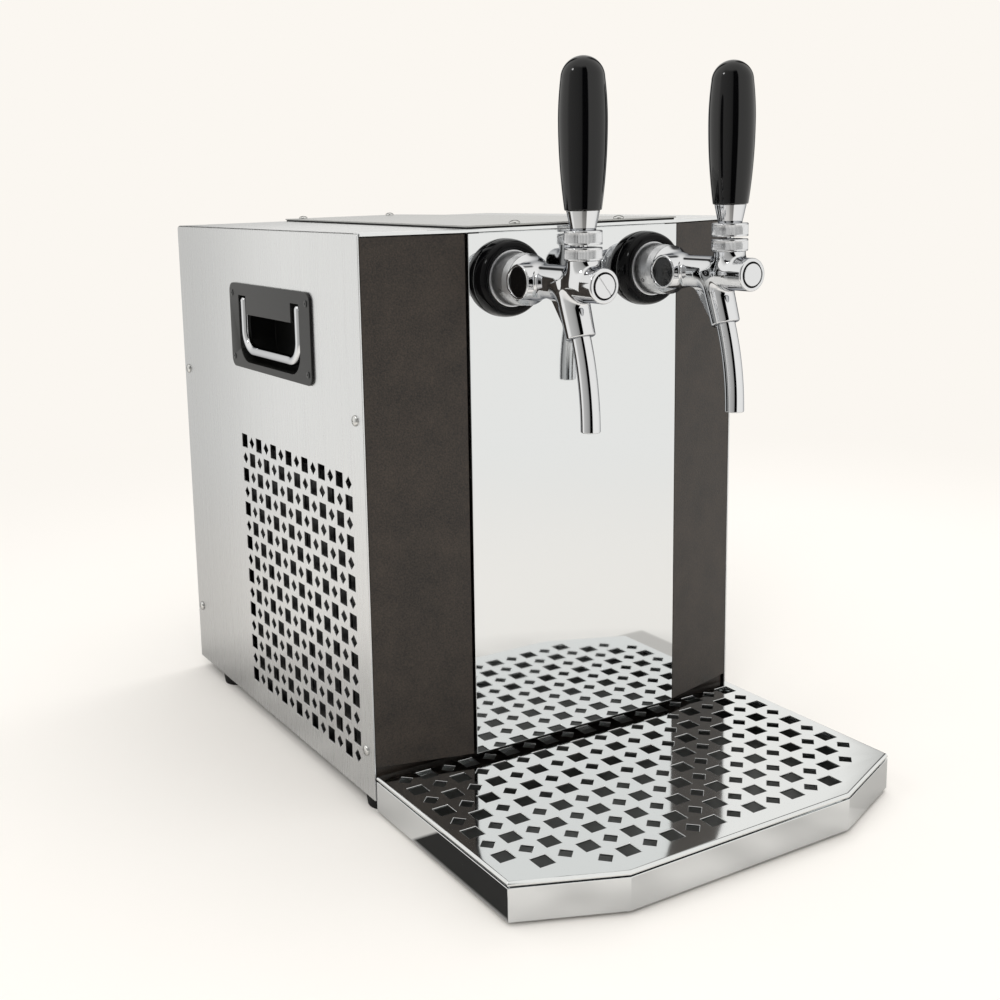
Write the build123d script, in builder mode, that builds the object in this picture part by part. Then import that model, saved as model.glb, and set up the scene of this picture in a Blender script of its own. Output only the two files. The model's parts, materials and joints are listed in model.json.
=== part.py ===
from build123d import *
import math
import os

# Countertop beer cooler with two taps. Millimetres, +X right, front towards -Y, +Z up.
# The origin is the middle of the bounding box on the bench. Depths are measured backwards
# from the front edge of the side panels, so a negative depth lies in front of them.

# ---- casing
casing_width = 362.0
casing_depth = 381.0
casing_top = 450.0
sheet = 1.5
gap = 0.3  # assembly gap between neighbouring pieces
slip = 0.05  # radial gap of a tube or stud that is pushed into its seat
run_gap = 0.08  # radial gap of a shaft that turns in its hole
bend_radius = 3.0
hem = 9.0  # width of the folded edges of the front sheets

# ---- front: two facets and the mirror panel between them
mirror_width = 199.4
mirror_reach = 21.0
mirror_top = 446.6
front_bottom = 38.4
facet_step = 1.6  # how far the facets lie behind the mirror panel
facet_seam = 1.8  # dark joint between a facet and the mirror panel
rim_height = 2.7
rim_depth = 8.0
rim_web_height = 16.0

# ---- lid
lid_rear_width = 132.0
lid_sheet = 1.2
gasket_thickness = 1.2
gasket_inset = 1.0
gasket_width = 9.0
lid_overlap = 12.0

# ---- feet and screws
foot_height = 11.0
foot_radius = 15.0
foot_taper = 8.0
front_foot_depth = 14.5
rear_foot_inset = 61.0  # this and the other rear insets are measured from the rear
foot_inset = 16.0
screw_head_radius = 4.2
screw_head_height = 2.2
screw_head_taper = 35.0
screw_shank_radius = 1.9
screw_length = 6.0
screw_front_depth = 12.0
screw_rear_inset = 11.0
screw_upper_height = 311.0
screw_lower_height = 49.0
screw_rear_lower_height = 67.0
lid_screw_spread = 50.0
lid_screw_front = -9.0
lid_screw_rear_inset = 9.0

# ---- vent grille of the left side: squares and diamonds like a chessboard
vent_pitch = 15.85
vent_columns = 14
vent_rows = 15
vent_first_depth = 27.6
vent_first_height = 38.4
vent_square = 12.2
vent_diamond = 7.5

# ---- exhaust slots of the right side and the rear
slot_length = 52.0
slot_width = 5.0
slot_rows = 12
slot_pitch = 17.0
side_slot_columns = 3
side_slot_spread = 68.0
slot_middle_depth = 130.0
slot_middle_height = 149.0
rear_slot_rows = 6
rear_slot_columns = 4
rear_slot_height = 290.0

# ---- recessed carrying handles
plate_width = 166.6
plate_height = 74.5
plate_thickness = 2.0
plate_corner = 8.0
plate_depth = 164.7
plate_middle_height = 365.2
cup_width = 125.0
cup_bottom = 334.0
cup_top = 392.0
cup_reach = 34.0
cup_wall = 2.0
cup_corner = 18.0
cup_shell_corner = 3.0
tongue_width = 94.0
tongue_bottom = 376.0
bail_width = 112.0
bail_rod = 4.25
bail_pin = 3.0
bail_pivot_height = 387.0
bail_grip_height = 344.0
bail_corner = 18.0
bail_sink = 2.0  # how far the bail's axis lies behind the side panel's outer face
handle_screw_inset_y = 6.6
handle_screw_inset_z = 9.0
handle_screw_radius = 2.8
handle_screw_height = 0.6

# ---- drip tray and grate
tray_width = 360.0
tray_rear_gap = 0.6
tray_corner_reach = 183.0
tray_reach = 214.5
tray_front_width = 205.0
tray_bottom = 3.0
grate_top = 32.0
grate_lip = 3.0
grate_seam = 1.3
grate_edge_radius = 2.2
ledge_width = 10.0
locator_inset = 4.0
pad_radius = 9.0
pad_inset = 30.0
grate_pitch = 19.25
grate_columns = 18
grate_rows = 10
grate_first_depth = -18.4
grate_square = 13.0
grate_diamond = 9.0
grate_margin = 9.5

# ---- taps, measured forwards from the mirror panel and up from the barrel's axis
tap_spread = 134.0
tap_height = 412.5
shank_radius = 9.5
shank_bore = 5.0
shank_tail = 45.0
nut_radius = 16.0
nut_height = 8.0
rosette_radius = 29.6
rosette_reach = 12.5
rosette_lip = 3.6  # height and width of the rounded fall from its crest to the flange
edge_break = 1.0  # chamfer of turned edges
flange_thickness = 1.5
coupling_flange = 21.4
coupling_radius = 20.2
coupling_nose = 18.2
coupling_taper = 0.8
coupling_nose_length = 6.0
coupling_end = 29.7
body_start = 30.0
body_shoulder = 19.0
shoulder_land = 1.8
horn_end = 56.0  # where the flared neck has run out into the barrel
passage_radius = 6.0
body_end = 120.0
barrel_radius = 12.2
barrel_bore = 9.4
barrel_bore_start = 58.0
cap_radius = 9.2
cap_length = 8.0
cap_face = 8.2  # the cap's front step leaves a dark ring inside the bore
cap_face_depth = 2.0
cap_proud = 0.4
cap_slot = 0.8
cap_slot_angle = -52.0
boss_position = 43.0
boss_radius = 12.9
boss_reach = 18.6
plug_radius = 10.9
plug_depth = 7.5
plug_sink = 0.4
valve_radius = 9.1
valve_start = 72.0
valve_end = 106.0
lever_position = 96.0
pivot_rise = 18.5
neck_radius = 11.5
neck_top = -2.0  # below the pivot, as the next heights are measured from it
ring_radius = 13.15
bonnet_top = 7.0
ball_radius = 8.0
ball_seat = 8.3
lip_radius = 6.9
seat_radius = 7.4  # lower lip of the ball's seat
neck_edge = 0.5
collar_bottom = 8.8
collar_top = 18.5
collar_sphere = 15.2
stud_radius = 3.0
arm_radius = 2.6
tip_drop = 18.0
tip_radius = 3.0
tip_pocket_gap = 0.6
tip_pocket_flare = 3.8
tip_pocket_floor = 4.0
tip_pocket_straight = 2.0
stud_top = 47.0
ferrule_height = 13.5
ferrule_foot = 8.65
ferrule_head = 11.5
handle_length = 102.5
handle_foot = 12.7
handle_widest = 16.8
handle_widest_rise = 59.5
handle_crown = 15.0
handle_crown_rise = 88.2
handle_bore_depth = 17.0
branch_position = 80.5
branch_lean = 18.7
branch_length = 39.6
branch_top_radius = 11.6
branch_end_radius = 10.5
branch_web = 5.0
branch_web_reach = 22.0
spout_radius = 6.95
spout_bore = 5.6
spout_insert = 10.0
spout_tip_drop = 102.6

# ---- inside
condenser_size = (22.0, 214.0, 236.0)
condenser_gap = 4.0
fin_pitch = 26.0
fin_groove = 2.0
fin_depth = 7.5
shroud_size = 190.0
shroud_thickness = 24.0
shroud_rim = 11.0  # the shroud's width where its hole comes nearest to its edge
fan_tip_gap = 4.0
fan_hub = 20.0
fan_blades = 5
fan_shaft = 3.0
fan_strut = 14.0
fan_strut_thickness = 4.0
fan_frame_edge = 2.0
fan_frame_corner = 10.0
motor_radius = 28.0
motor_length = 26.0
rotor_length = 18.0
rotor_inset = 2.0
blade_root = (13.0, 3.0, 38.0)  # width, thickness and pitch angle
blade_tip = (17.0, 2.0, 62.0)
fan_height = 140.0
fan_depth = 132.0
compressor_x = 0.0
compressor_radius = 54.0
compressor_height = 150.0
compressor_rear_inset = 81.0
compressor_foot = 8.0
compressor_foot_spread = 70.0
compressor_plate = (132.0, 94.0, 3.0)
compressor_shoulder = 16.0
block_width = 240.0
block_length = 175.0
block_height = 278.0
block_middle_x = 48.0
block_front_depth = 30.0
block_corner = 12.0
line_insert = 8.0
line_radius = 4.7
line_bore = 3.2
line_bend = 26.0
line_drop_depth = 72.0
return_drop_depth = 170.0

# ---- rear fittings
rear_reach = 15.0
inlet_bore = 4.8
inlet_radius = 8.5
inlet_flange = 12.0
inlet_flange_depth = 3.0
inlet_tail = 20.0
module_rim = (46.0, 70.0)
module_rim_corner = 4.0
module_x = 110.0
module_height = 62.0
module_width = 34.0
module_tall = 62.0
module_flange = 2.5
module_depth = 24.0
socket_width = 25.0
socket_height = 17.4
socket_depth = 17.0
socket_rise = -14.0
socket_chamfer = 4.0
earth_rise = 2.0  # the middle pin stands this much above the other two
pin_height = 4.2
pin_width = 2.2
pin_spread = 7.0
pin_length = 13.0
rocker_rise = 17.0
rocker_width = 13.0
rocker_height = 21.0
rocker_well = 16.0
rocker_pivot_depth = 4.0
rocker_pin = 1.5
rocker_pin_reach = 2.0
rocker_heel = 5.0
rocker_corner = 1.4
rocker_high = 3.8
rocker_dip = 1.4
rocker_low = 1.2
knob_x = 40.0
knob_height = 62.0
knob_radius = 15.0
knob_reach = 12.0
knob_taper = 4.0
knob_shaft = 3.0
knob_tail = 14.0

# ---- worked out from the sizes above
half_width = casing_width / 2
front_y = -(casing_depth + rear_reach - tray_reach) / 2
rear_y = front_y + casing_depth
inner_half = half_width - sheet - gap
mirror_half = mirror_width / 2
mirror_y = front_y - mirror_reach
facet_inner_x = mirror_half + facet_seam
facet_inner_y = mirror_y + facet_step
rim_bottom = casing_top - rim_height
lid_bottom = casing_top + gasket_thickness
pan_floor = foot_height + sheet
tray_top = grate_top - grate_lip - grate_seam
bail_x = half_width - bail_sink
plate_y = front_y + plate_depth
lid_screw_front_y = front_y + lid_screw_front
lid_screw_rear_y = rear_y - lid_screw_rear_inset
fan_radius = shroud_size / 2 - shroud_rim - fan_tip_gap
rosette_seat = rosette_reach - rosette_lip
cup_middle = (cup_bottom + cup_top) / 2
branch_angle = math.radians(branch_lean)


def write(part, name):
    """Label a finished piece and write its file."""
    part.label = name
    export_step(part, f"parts/{name}.step")


def outline(*points):
    """Add the face inside a closed run of straight edges to the sketch."""
    Polygon(*points, align=None)


def folded(*points):
    """Add the section of a folded sheet, given along its outer face, to the sketch."""
    bends = Wire.make_polygon([Vector(*point) for point in points], close=False)
    section = bends.offset_2d(sheet, kind=Kind.INTERSECTION, side=Side.LEFT)
    add(Face(section))


screw_spots = [
    (front_y + screw_front_depth, screw_upper_height),
    (front_y + screw_front_depth, screw_lower_height),
    (rear_y - screw_rear_inset, screw_upper_height),
    (rear_y - screw_rear_inset, screw_rear_lower_height),
]


# ======== side panels: vertical sheet bent over into a top flange
def lid_edge(y):
    """Half width of the tapered lid at the place y."""
    share = (y - mirror_y) / (rear_y - mirror_y)
    return mirror_half + share * (lid_rear_width / 2 - mirror_half)


flange_front_y = front_y + rim_depth + gap
flange_tip_y = mirror_y + rim_depth + gap
with BuildPart() as bare_side:
    with BuildSketch(Plane.YZ.offset(-half_width)):
        with Locations((front_y + casing_depth / 2, (foot_height + casing_top) / 2)):
            Rectangle(casing_depth, casing_top - foot_height)
    extrude(amount=sheet)
    with BuildSketch(Plane.XY.offset(casing_top - sheet)):
        outline(
            (-half_width, front_y),
            (-half_width + sheet, front_y),
            (-half_width + sheet, flange_front_y),
            (-mirror_half, flange_tip_y),
            (-lid_edge(flange_tip_y) + lid_overlap, flange_tip_y),
            (-lid_edge(rear_y) + lid_overlap, rear_y),
            (-half_width, rear_y),
        )
    extrude(amount=sheet)
    outer_bend = edges().filter_by(Axis.Y).group_by(Axis.X)[0].sort_by(Axis.Z)[-1]
    fillet(outer_bend, bend_radius)
    with BuildSketch(Plane.YZ.offset(-half_width)):
        with Locations((plate_y, cup_middle)):
            RectangleRounded(
                cup_width + 2 * (cup_wall + gap),
                cup_top - cup_bottom + 2 * (cup_wall + gap),
                cup_shell_corner,
            )
        with Locations(*screw_spots):
            Circle(screw_shank_radius + gap)
    extrude(amount=sheet, mode=Mode.SUBTRACT)

# The left panel has the grille: squares and diamonds by turns, over the condenser.
vent_squares = []
vent_diamonds = []
for column in range(vent_columns):
    for row in range(vent_rows):
        spot = (
            front_y + vent_first_depth + column * vent_pitch,
            vent_first_height + row * vent_pitch,
        )
        if (column + row) % 2:
            vent_squares.append(spot)
        else:
            vent_diamonds.append(spot)
with BuildPart() as left_side_panel:
    add(bare_side.part)
    with BuildSketch(Plane.YZ.offset(-half_width)):
        with Locations(*vent_squares):
            Rectangle(vent_square, vent_square)
        with Locations(*vent_diamonds):
            Rectangle(vent_diamond, vent_diamond, rotation=45)
    extrude(amount=sheet, mode=Mode.SUBTRACT)
write(left_side_panel.part, "left_side_panel")

with BuildPart() as right_side_panel:
    mirror(bare_side.part, about=Plane.YZ)
    with BuildSketch(Plane.YZ.offset(half_width - sheet)):
        with Locations((front_y + slot_middle_depth, slot_middle_height)):
            with GridLocations(side_slot_spread, slot_pitch, side_slot_columns, slot_rows):
                Rectangle(slot_length, slot_width)
    extrude(amount=sheet, mode=Mode.SUBTRACT)
write(right_side_panel.part, "right_side_panel")

# ======== lid, its gasket and the bright rim along the front
lid_front_y = mirror_y + 2 * gap
lid_points = [
    (-mirror_half, lid_front_y),
    (mirror_half, lid_front_y),
    (lid_edge(rear_y), rear_y),
    (-lid_edge(rear_y), rear_y),
]
with BuildPart() as top_lid:
    with BuildSketch(Plane.XY.offset(lid_bottom)):
        outline(*lid_points)
    extrude(amount=lid_sheet)
    with BuildSketch(Plane.XY.offset(lid_bottom + lid_sheet)):
        with Locations((0, lid_screw_front_y)):
            with GridLocations(2 * lid_screw_spread, 1, 2, 1):
                Circle(screw_shank_radius + gap)
        with Locations((0, lid_screw_rear_y)):
            with GridLocations(2 * lid_screw_spread, 1, 2, 1):
                Circle(screw_shank_radius + gap)
    extrude(amount=-lid_sheet, mode=Mode.SUBTRACT)
write(top_lid.part, "top_lid")

with BuildPart() as lid_gasket:
    with BuildSketch(Plane.XY.offset(casing_top)) as gasket_plan:
        outline(*lid_points)
        offset(amount=-gasket_inset, kind=Kind.INTERSECTION)
    extrude(amount=gasket_thickness)
    with BuildSketch(Plane.XY.offset(casing_top)):
        add(gasket_plan.sketch)
        offset(amount=-gasket_width, kind=Kind.INTERSECTION)
    extrude(amount=gasket_thickness, mode=Mode.SUBTRACT)
    with BuildSketch(Plane.XY.offset(casing_top)):
        with Locations((0, lid_screw_front_y), (0, lid_screw_rear_y)):
            with GridLocations(2 * lid_screw_spread, 1, 2, 1):
                Circle(screw_shank_radius + gap)
    extrude(amount=gasket_thickness, mode=Mode.SUBTRACT)
write(lid_gasket.part, "lid_gasket")

web_y = mirror_y + sheet + gap
with BuildPart() as front_rim:
    with BuildSketch(Plane.XY.offset(rim_bottom)):
        outline(
            (-inner_half, front_y),
            (-mirror_half, mirror_y),
            (mirror_half, mirror_y),
            (inner_half, front_y),
            (inner_half, front_y + rim_depth),
            (mirror_half, mirror_y + rim_depth),
            (-mirror_half, mirror_y + rim_depth),
            (-inner_half, front_y + rim_depth),
        )
    extrude(amount=rim_height)
    with BuildSketch(Plane.XY.offset(rim_bottom)):
        with Locations((0, web_y + sheet / 2)):
            Rectangle(mirror_width - 2 * (sheet + hem), sheet)
    extrude(amount=-rim_web_height)
    with BuildSketch(Plane.XY.offset(casing_top)):
        with Locations((0, lid_screw_front_y)):
            with GridLocations(2 * lid_screw_spread, 1, 2, 1):
                Circle(screw_shank_radius + gap)
    extrude(amount=-rim_height, mode=Mode.SUBTRACT)
write(front_rim.part, "front_rim")

# ======== front panels: folded sheets that stand between sill and rim
panel_top = mirror_top
with BuildPart() as left_front_panel:
    with BuildSketch(Plane.XY.offset(front_bottom)):
        folded(
            (-inner_half, front_y + hem),
            (-inner_half, front_y),
            (-facet_inner_x, facet_inner_y),
            (-facet_inner_x, facet_inner_y + hem),
        )
    extrude(amount=panel_top - front_bottom)
write(left_front_panel.part, "left_front_panel")

with BuildPart() as right_front_panel:
    mirror(left_front_panel.part, about=Plane.YZ)
write(right_front_panel.part, "right_front_panel")

with BuildPart() as mirror_panel:
    with BuildSketch(Plane.XY.offset(front_bottom)):
        folded(
            (-mirror_half, mirror_y + hem),
            (-mirror_half, mirror_y),
            (mirror_half, mirror_y),
            (mirror_half, mirror_y + hem),
        )
    extrude(amount=mirror_top - front_bottom)
    with BuildSketch(Plane.XZ.offset(-mirror_y)):
        with Locations((0, tap_height)):
            with GridLocations(tap_spread, 1, 2, 1):
                Circle(shank_radius + gap)
    extrude(amount=-sheet, mode=Mode.SUBTRACT)
write(mirror_panel.part, "mirror_panel")

# Dark sill that closes the casing under the front panels, with a soffit behind their feet.
soffit_z = front_bottom + sheet
soffit_shift = sheet + 3 * gap
seam_x = (mirror_half + facet_inner_x) / 2
hem_reach = facet_step + hem + gap
with BuildPart() as front_sill:
    with BuildSketch(Plane.XY.offset(pan_floor + gap)):
        with Locations((0, front_y + soffit_shift + sheet / 2)):
            Rectangle(2 * (inner_half - sheet - gap), sheet)
    extrude(amount=soffit_z - pan_floor - gap)
    with BuildSketch(Plane.XY.offset(soffit_z)):
        outline(
            (-inner_half + sheet + gap, front_y + soffit_shift + sheet),
            (-inner_half + sheet + gap, front_y + soffit_shift),
            (-facet_inner_x + sheet + gap, facet_inner_y + soffit_shift),
            (facet_inner_x - sheet - gap, facet_inner_y + soffit_shift),
            (inner_half - sheet - gap, front_y + soffit_shift),
            (inner_half - sheet - gap, front_y + soffit_shift + sheet),
        )
        with Locations((-seam_x, mirror_y + hem_reach / 2), (seam_x, mirror_y + hem_reach / 2)):
            Rectangle(facet_seam + 2 * (sheet + gap), hem_reach, mode=Mode.SUBTRACT)
    extrude(amount=sheet)
write(front_sill.part, "front_sill")

# ======== base pan and rear panel
pan_front_y = front_y + soffit_shift + sheet + gap
pan_rear_y = rear_y - sheet - gap
foot_spots = [
    (side * (half_width - foot_inset), foot_y)
    for side in (-1, 1)
    for foot_y in (front_y + front_foot_depth, rear_y - rear_foot_inset)
]
with BuildPart() as base_pan:
    with BuildSketch(Plane.XZ.offset(-pan_front_y)):
        folded(
            (-inner_half, foot_height + hem),
            (-inner_half, foot_height),
            (inner_half, foot_height),
            (inner_half, foot_height + hem),
        )
    extrude(amount=-(pan_rear_y - pan_front_y))
write(base_pan.part, "base_pan")

with BuildPart() as rubber_feet:
    with BuildSketch(Plane.XY.offset(foot_height)):
        with Locations(*foot_spots):
            Circle(foot_radius)
    extrude(amount=-foot_height, taper=foot_taper)
write(rubber_feet.part, "rubber_feet")

panel_bottom = foot_height
panel_height = casing_top - sheet - gap - panel_bottom
with BuildPart() as rear_panel:
    with BuildSketch(Plane.XZ.offset(-rear_y)):
        with Locations((0, panel_bottom + panel_height / 2)):
            Rectangle(2 * inner_half, panel_height)
        with Locations((0, tap_height)):
            with GridLocations(tap_spread, 1, 2, 1):
                Circle(inlet_radius + gap, mode=Mode.SUBTRACT)
        with Locations((module_x, module_height)):
            Rectangle(module_width + 2 * gap, module_tall + 2 * gap, mode=Mode.SUBTRACT)
        with Locations((knob_x, knob_height)):
            Circle(knob_shaft + run_gap, mode=Mode.SUBTRACT)
        with Locations((0, rear_slot_height)):
            with GridLocations(side_slot_spread, slot_pitch, rear_slot_columns, rear_slot_rows):
                Rectangle(slot_length, slot_width, mode=Mode.SUBTRACT)
    extrude(amount=sheet)
write(rear_panel.part, "rear_panel")

# ======== screws with domed heads, in the side panels and the lid
lid_top = lid_bottom + lid_sheet
lid_screw_spots = [
    (x, y)
    for x in (-lid_screw_spread, lid_screw_spread)
    for y in (lid_screw_front_y, lid_screw_rear_y)
]
with BuildPart() as case_screws:
    for side in (-1, 1):
        with BuildSketch(Plane.YZ.offset(side * half_width)):
            with Locations(*screw_spots):
                Circle(screw_head_radius)
        extrude(amount=side * screw_head_height, taper=screw_head_taper)
        with BuildSketch(Plane.YZ.offset(side * half_width)):
            with Locations(*screw_spots):
                Circle(screw_shank_radius)
        extrude(amount=-side * screw_length)
    with BuildSketch(Plane.XY.offset(lid_top)):
        with Locations(*lid_screw_spots):
            Circle(screw_head_radius)
    extrude(amount=screw_head_height, taper=screw_head_taper)
    with BuildSketch(Plane.XY.offset(lid_top)):
        with Locations(*lid_screw_spots):
            Circle(screw_shank_radius)
    extrude(amount=-screw_length)
write(case_screws.part, "case_screws")

# ======== carrying handles: recessed plate, bail and screws
hinge_y = cup_width / 2
handle_screw_spots = [
    (
        plate_y + sy * (plate_width / 2 - handle_screw_inset_y),
        plate_middle_height + sz * (plate_height / 2 - handle_screw_inset_z),
    )
    for sy in (-1, 1)
    for sz in (-1, 1)
]
with BuildPart() as left_handle_plate:
    with BuildSketch(Plane.YZ.offset(-half_width)):
        with Locations((plate_y, plate_middle_height)):
            RectangleRounded(plate_width, plate_height, plate_corner)
    extrude(amount=-plate_thickness)
    with BuildSketch(Plane.YZ.offset(-half_width)):
        with Locations((plate_y, cup_middle)):
            RectangleRounded(
                cup_width + 2 * cup_wall, cup_top - cup_bottom + 2 * cup_wall, cup_shell_corner
            )
    extrude(amount=cup_reach)
    with BuildSketch(Plane.YZ.offset(-half_width - plate_thickness)):
        with Locations((plate_y, cup_middle)):
            Rectangle(cup_width, cup_top - cup_bottom)
        fillet(vertices().group_by(Axis.Y)[0], cup_corner)
    extrude(amount=plate_thickness + cup_reach - cup_wall, mode=Mode.SUBTRACT)
    with BuildSketch(Plane.YZ.offset(-half_width)):
        with Locations((plate_y, (tongue_bottom + cup_top) / 2)):
            Rectangle(tongue_width, cup_top - tongue_bottom)
    extrude(amount=-plate_thickness)
    for side in (-1, 1):
        with BuildSketch(Plane.XZ.offset(-plate_y - side * hinge_y)):
            with Locations((-bail_x, bail_pivot_height)):
                Circle(bail_pin + run_gap)
        extrude(amount=-side * (cup_wall + gap), mode=Mode.SUBTRACT)
write(left_handle_plate.part, "left_handle_plate")

with BuildPart() as right_handle_plate:
    mirror(left_handle_plate.part, about=Plane.YZ)
write(right_handle_plate.part, "right_handle_plate")

# The bail is a bent rod: two legs and a grip, with a pin at the head of each leg.
leg_y = bail_width / 2
with BuildPart() as left_bail:
    with BuildLine(Plane.YZ.offset(-bail_x)) as bail_path:
        FilletPolyline(
            (plate_y - leg_y, bail_pivot_height),
            (plate_y - leg_y, bail_grip_height),
            (plate_y + leg_y, bail_grip_height),
            (plate_y + leg_y, bail_pivot_height),
            radius=bail_corner,
        )
    with BuildSketch(
        Plane(origin=(-bail_x, plate_y - leg_y, bail_pivot_height), z_dir=(0, 0, -1))
    ):
        Circle(bail_rod)
    sweep(path=bail_path.wire())
    with Locations(
        (-bail_x, plate_y - leg_y, bail_pivot_height),
        (-bail_x, plate_y + leg_y, bail_pivot_height),
    ):
        Sphere(bail_rod)
    for side in (-1, 1):
        with BuildSketch(Plane.XZ.offset(-plate_y - side * leg_y)):
            with Locations((-bail_x, bail_pivot_height)):
                Circle(bail_pin)
        extrude(amount=-side * (hinge_y - leg_y + cup_wall))
write(left_bail.part, "left_bail")

with BuildPart() as right_bail:
    mirror(left_bail.part, about=Plane.YZ)
write(right_bail.part, "right_bail")

with BuildPart() as handle_screws:
    for side in (-1, 1):
        with BuildSketch(Plane.YZ.offset(side * (half_width + plate_thickness))):
            with Locations(*handle_screw_spots):
                Circle(handle_screw_radius)
        extrude(amount=side * handle_screw_height)
write(handle_screws.part, "handle_screws")

# ======== drip tray: folded pan with an inward ledge, on rubber pads
tray_back_y = front_y - tray_rear_gap
tray_half = tray_width / 2
tray_points = [
    (-tray_half, tray_back_y),
    (-tray_half, front_y - tray_corner_reach),
    (-tray_front_width / 2, front_y - tray_reach),
    (tray_front_width / 2, front_y - tray_reach),
    (tray_half, front_y - tray_corner_reach),
    (tray_half, tray_back_y),
]
with BuildPart() as drip_tray:
    with BuildSketch(Plane.XY.offset(tray_bottom)) as tray_plan:
        outline(*tray_points)
    extrude(amount=tray_top - tray_bottom)
    with BuildSketch(Plane.XY.offset(tray_bottom + sheet)):
        add(tray_plan.sketch)
        offset(amount=-sheet, kind=Kind.INTERSECTION)
    extrude(amount=tray_top - tray_bottom - 2 * sheet, mode=Mode.SUBTRACT)
    with BuildSketch(Plane.XY.offset(tray_top)):
        add(tray_plan.sketch)
        offset(amount=-ledge_width, kind=Kind.INTERSECTION)
    extrude(amount=-2 * sheet, mode=Mode.SUBTRACT)
write(drip_tray.part, "drip_tray")

with BuildPart() as tray_pads:
    with BuildSketch(Plane.XY.offset(tray_bottom)):
        with Locations((0, tray_back_y - pad_inset)):
            with GridLocations(tray_width - 2 * pad_inset, 1, 2, 1):
                Circle(pad_radius)
        with Locations((0, front_y - tray_corner_reach)):
            with GridLocations(tray_front_width, 1, 2, 1):
                Circle(pad_radius)
    extrude(amount=-tray_bottom)
write(tray_pads.part, "tray_pads")

# The grate's holes: squares and diamonds by turns, only where a clear margin is left.
grate_bottom = grate_top - sheet


def inside_grate(x, y):
    """Whether a hole at x, y keeps its margin to the rim, the slanted front included."""
    if abs(x) > tray_half - grate_margin - grate_square / 2:
        return False
    slant = math.hypot(
        tray_half - tray_front_width / 2, tray_reach - tray_corner_reach
    )
    along = (tray_half - abs(x)) * (tray_reach - tray_corner_reach)
    across = (y - front_y + tray_corner_reach) * (tray_half - tray_front_width / 2)
    clear = grate_margin + grate_square / 2
    return (along + across) / slant > clear and y - front_y + tray_reach > clear


grate_squares = []
grate_diamonds = []
for column in range(grate_columns):
    for row in range(grate_rows):
        x = (column - (grate_columns - 1) / 2) * grate_pitch
        y = front_y + grate_first_depth - row * grate_pitch
        if not inside_grate(x, y):
            continue
        if (column + row) % 2:
            grate_squares.append((x, y))
        else:
            grate_diamonds.append((x, y))
with BuildPart() as drip_grate:
    with BuildSketch(Plane.XY.offset(grate_top - grate_lip)) as grate_plan:
        outline(*tray_points)
    extrude(amount=grate_lip)
    fillet(faces().sort_by(Axis.Z)[-1].edges(), grate_edge_radius)
    with BuildSketch(Plane.XY.offset(grate_top - grate_lip)):
        add(grate_plan.sketch)
        offset(amount=-sheet - gap, kind=Kind.INTERSECTION)
    extrude(amount=grate_lip - sheet, mode=Mode.SUBTRACT)
    with BuildSketch(Plane.XY.offset(grate_bottom)):
        add(grate_plan.sketch)
        offset(amount=-locator_inset, kind=Kind.INTERSECTION)
    with BuildSketch(Plane.XY.offset(grate_bottom), mode=Mode.PRIVATE) as locator_inner:
        add(grate_plan.sketch)
        offset(amount=-locator_inset - sheet, kind=Kind.INTERSECTION)
    extrude(amount=-(grate_bottom - tray_top - gap))
    extrude(
        locator_inner.sketch,
        amount=-(grate_bottom - tray_top),
        mode=Mode.SUBTRACT,
    )
    with BuildSketch(Plane.XY.offset(grate_bottom)):
        with Locations(*grate_squares):
            Rectangle(grate_square, grate_square)
        with Locations(*grate_diamonds):
            Rectangle(grate_diamond, grate_diamond, rotation=45)
    extrude(amount=sheet, mode=Mode.SUBTRACT)
write(drip_grate.part, "drip_grate")

# ======== taps. Each profile is drawn on a plane that runs forwards and up from the
# mirror panel, and turned about the barrel's or the lever's axis.
tap_places = (("left", -tap_spread / 2), ("right", tap_spread / 2))
nut_front = -sheet
branch_end = (
    branch_position + branch_length * math.sin(branch_angle),
    -branch_length * math.cos(branch_angle),
)
spout_start = (
    branch_end[0] - spout_insert * math.sin(branch_angle),
    branch_end[1] + spout_insert * math.cos(branch_angle),
)
spout_curve = (spout_tip_drop + branch_end[1]) / math.sin(branch_angle)
spout_tip = (branch_end[0] + spout_curve * (1 - math.cos(branch_angle)), -spout_tip_drop)
spout_middle = (
    spout_tip[0] - spout_curve * (1 - math.cos(branch_angle / 2)),
    spout_tip[1] + spout_curve * math.sin(branch_angle / 2),
)
neck_seat = math.sqrt(ball_seat**2 - neck_top**2)
lip_rise = math.sqrt(ball_seat**2 - lip_radius**2)
seat_drop = math.sqrt(ball_seat**2 - seat_radius**2)
seat_lean = (math.atan2(seat_drop, seat_radius) + math.atan2(-neck_top, neck_seat)) / 2
collar_hole = stud_radius + slip
collar_inner = math.sqrt(collar_sphere**2 - collar_hole**2)
collar_rim = math.sqrt(collar_sphere**2 - collar_bottom**2)
arc_lean = math.atan2(collar_hole, collar_inner) / 2 + math.atan2(collar_rim, collar_bottom) / 2
arm_root = math.sqrt(ball_radius**2 - arm_radius**2)
stud_root = math.sqrt(ball_radius**2 - stud_radius**2)
pocket_radius = tip_radius + tip_pocket_gap
flange_front = rosette_seat + flange_thickness
rosette_crest = coupling_flange + gap + rosette_lip
cap_front = body_end + cap_proud
tip_shoulder = tip_drop - math.sqrt(tip_radius**2 - arm_radius**2)
ferrule_top = collar_top + ferrule_height
handle_top = ferrule_top + handle_length

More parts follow.
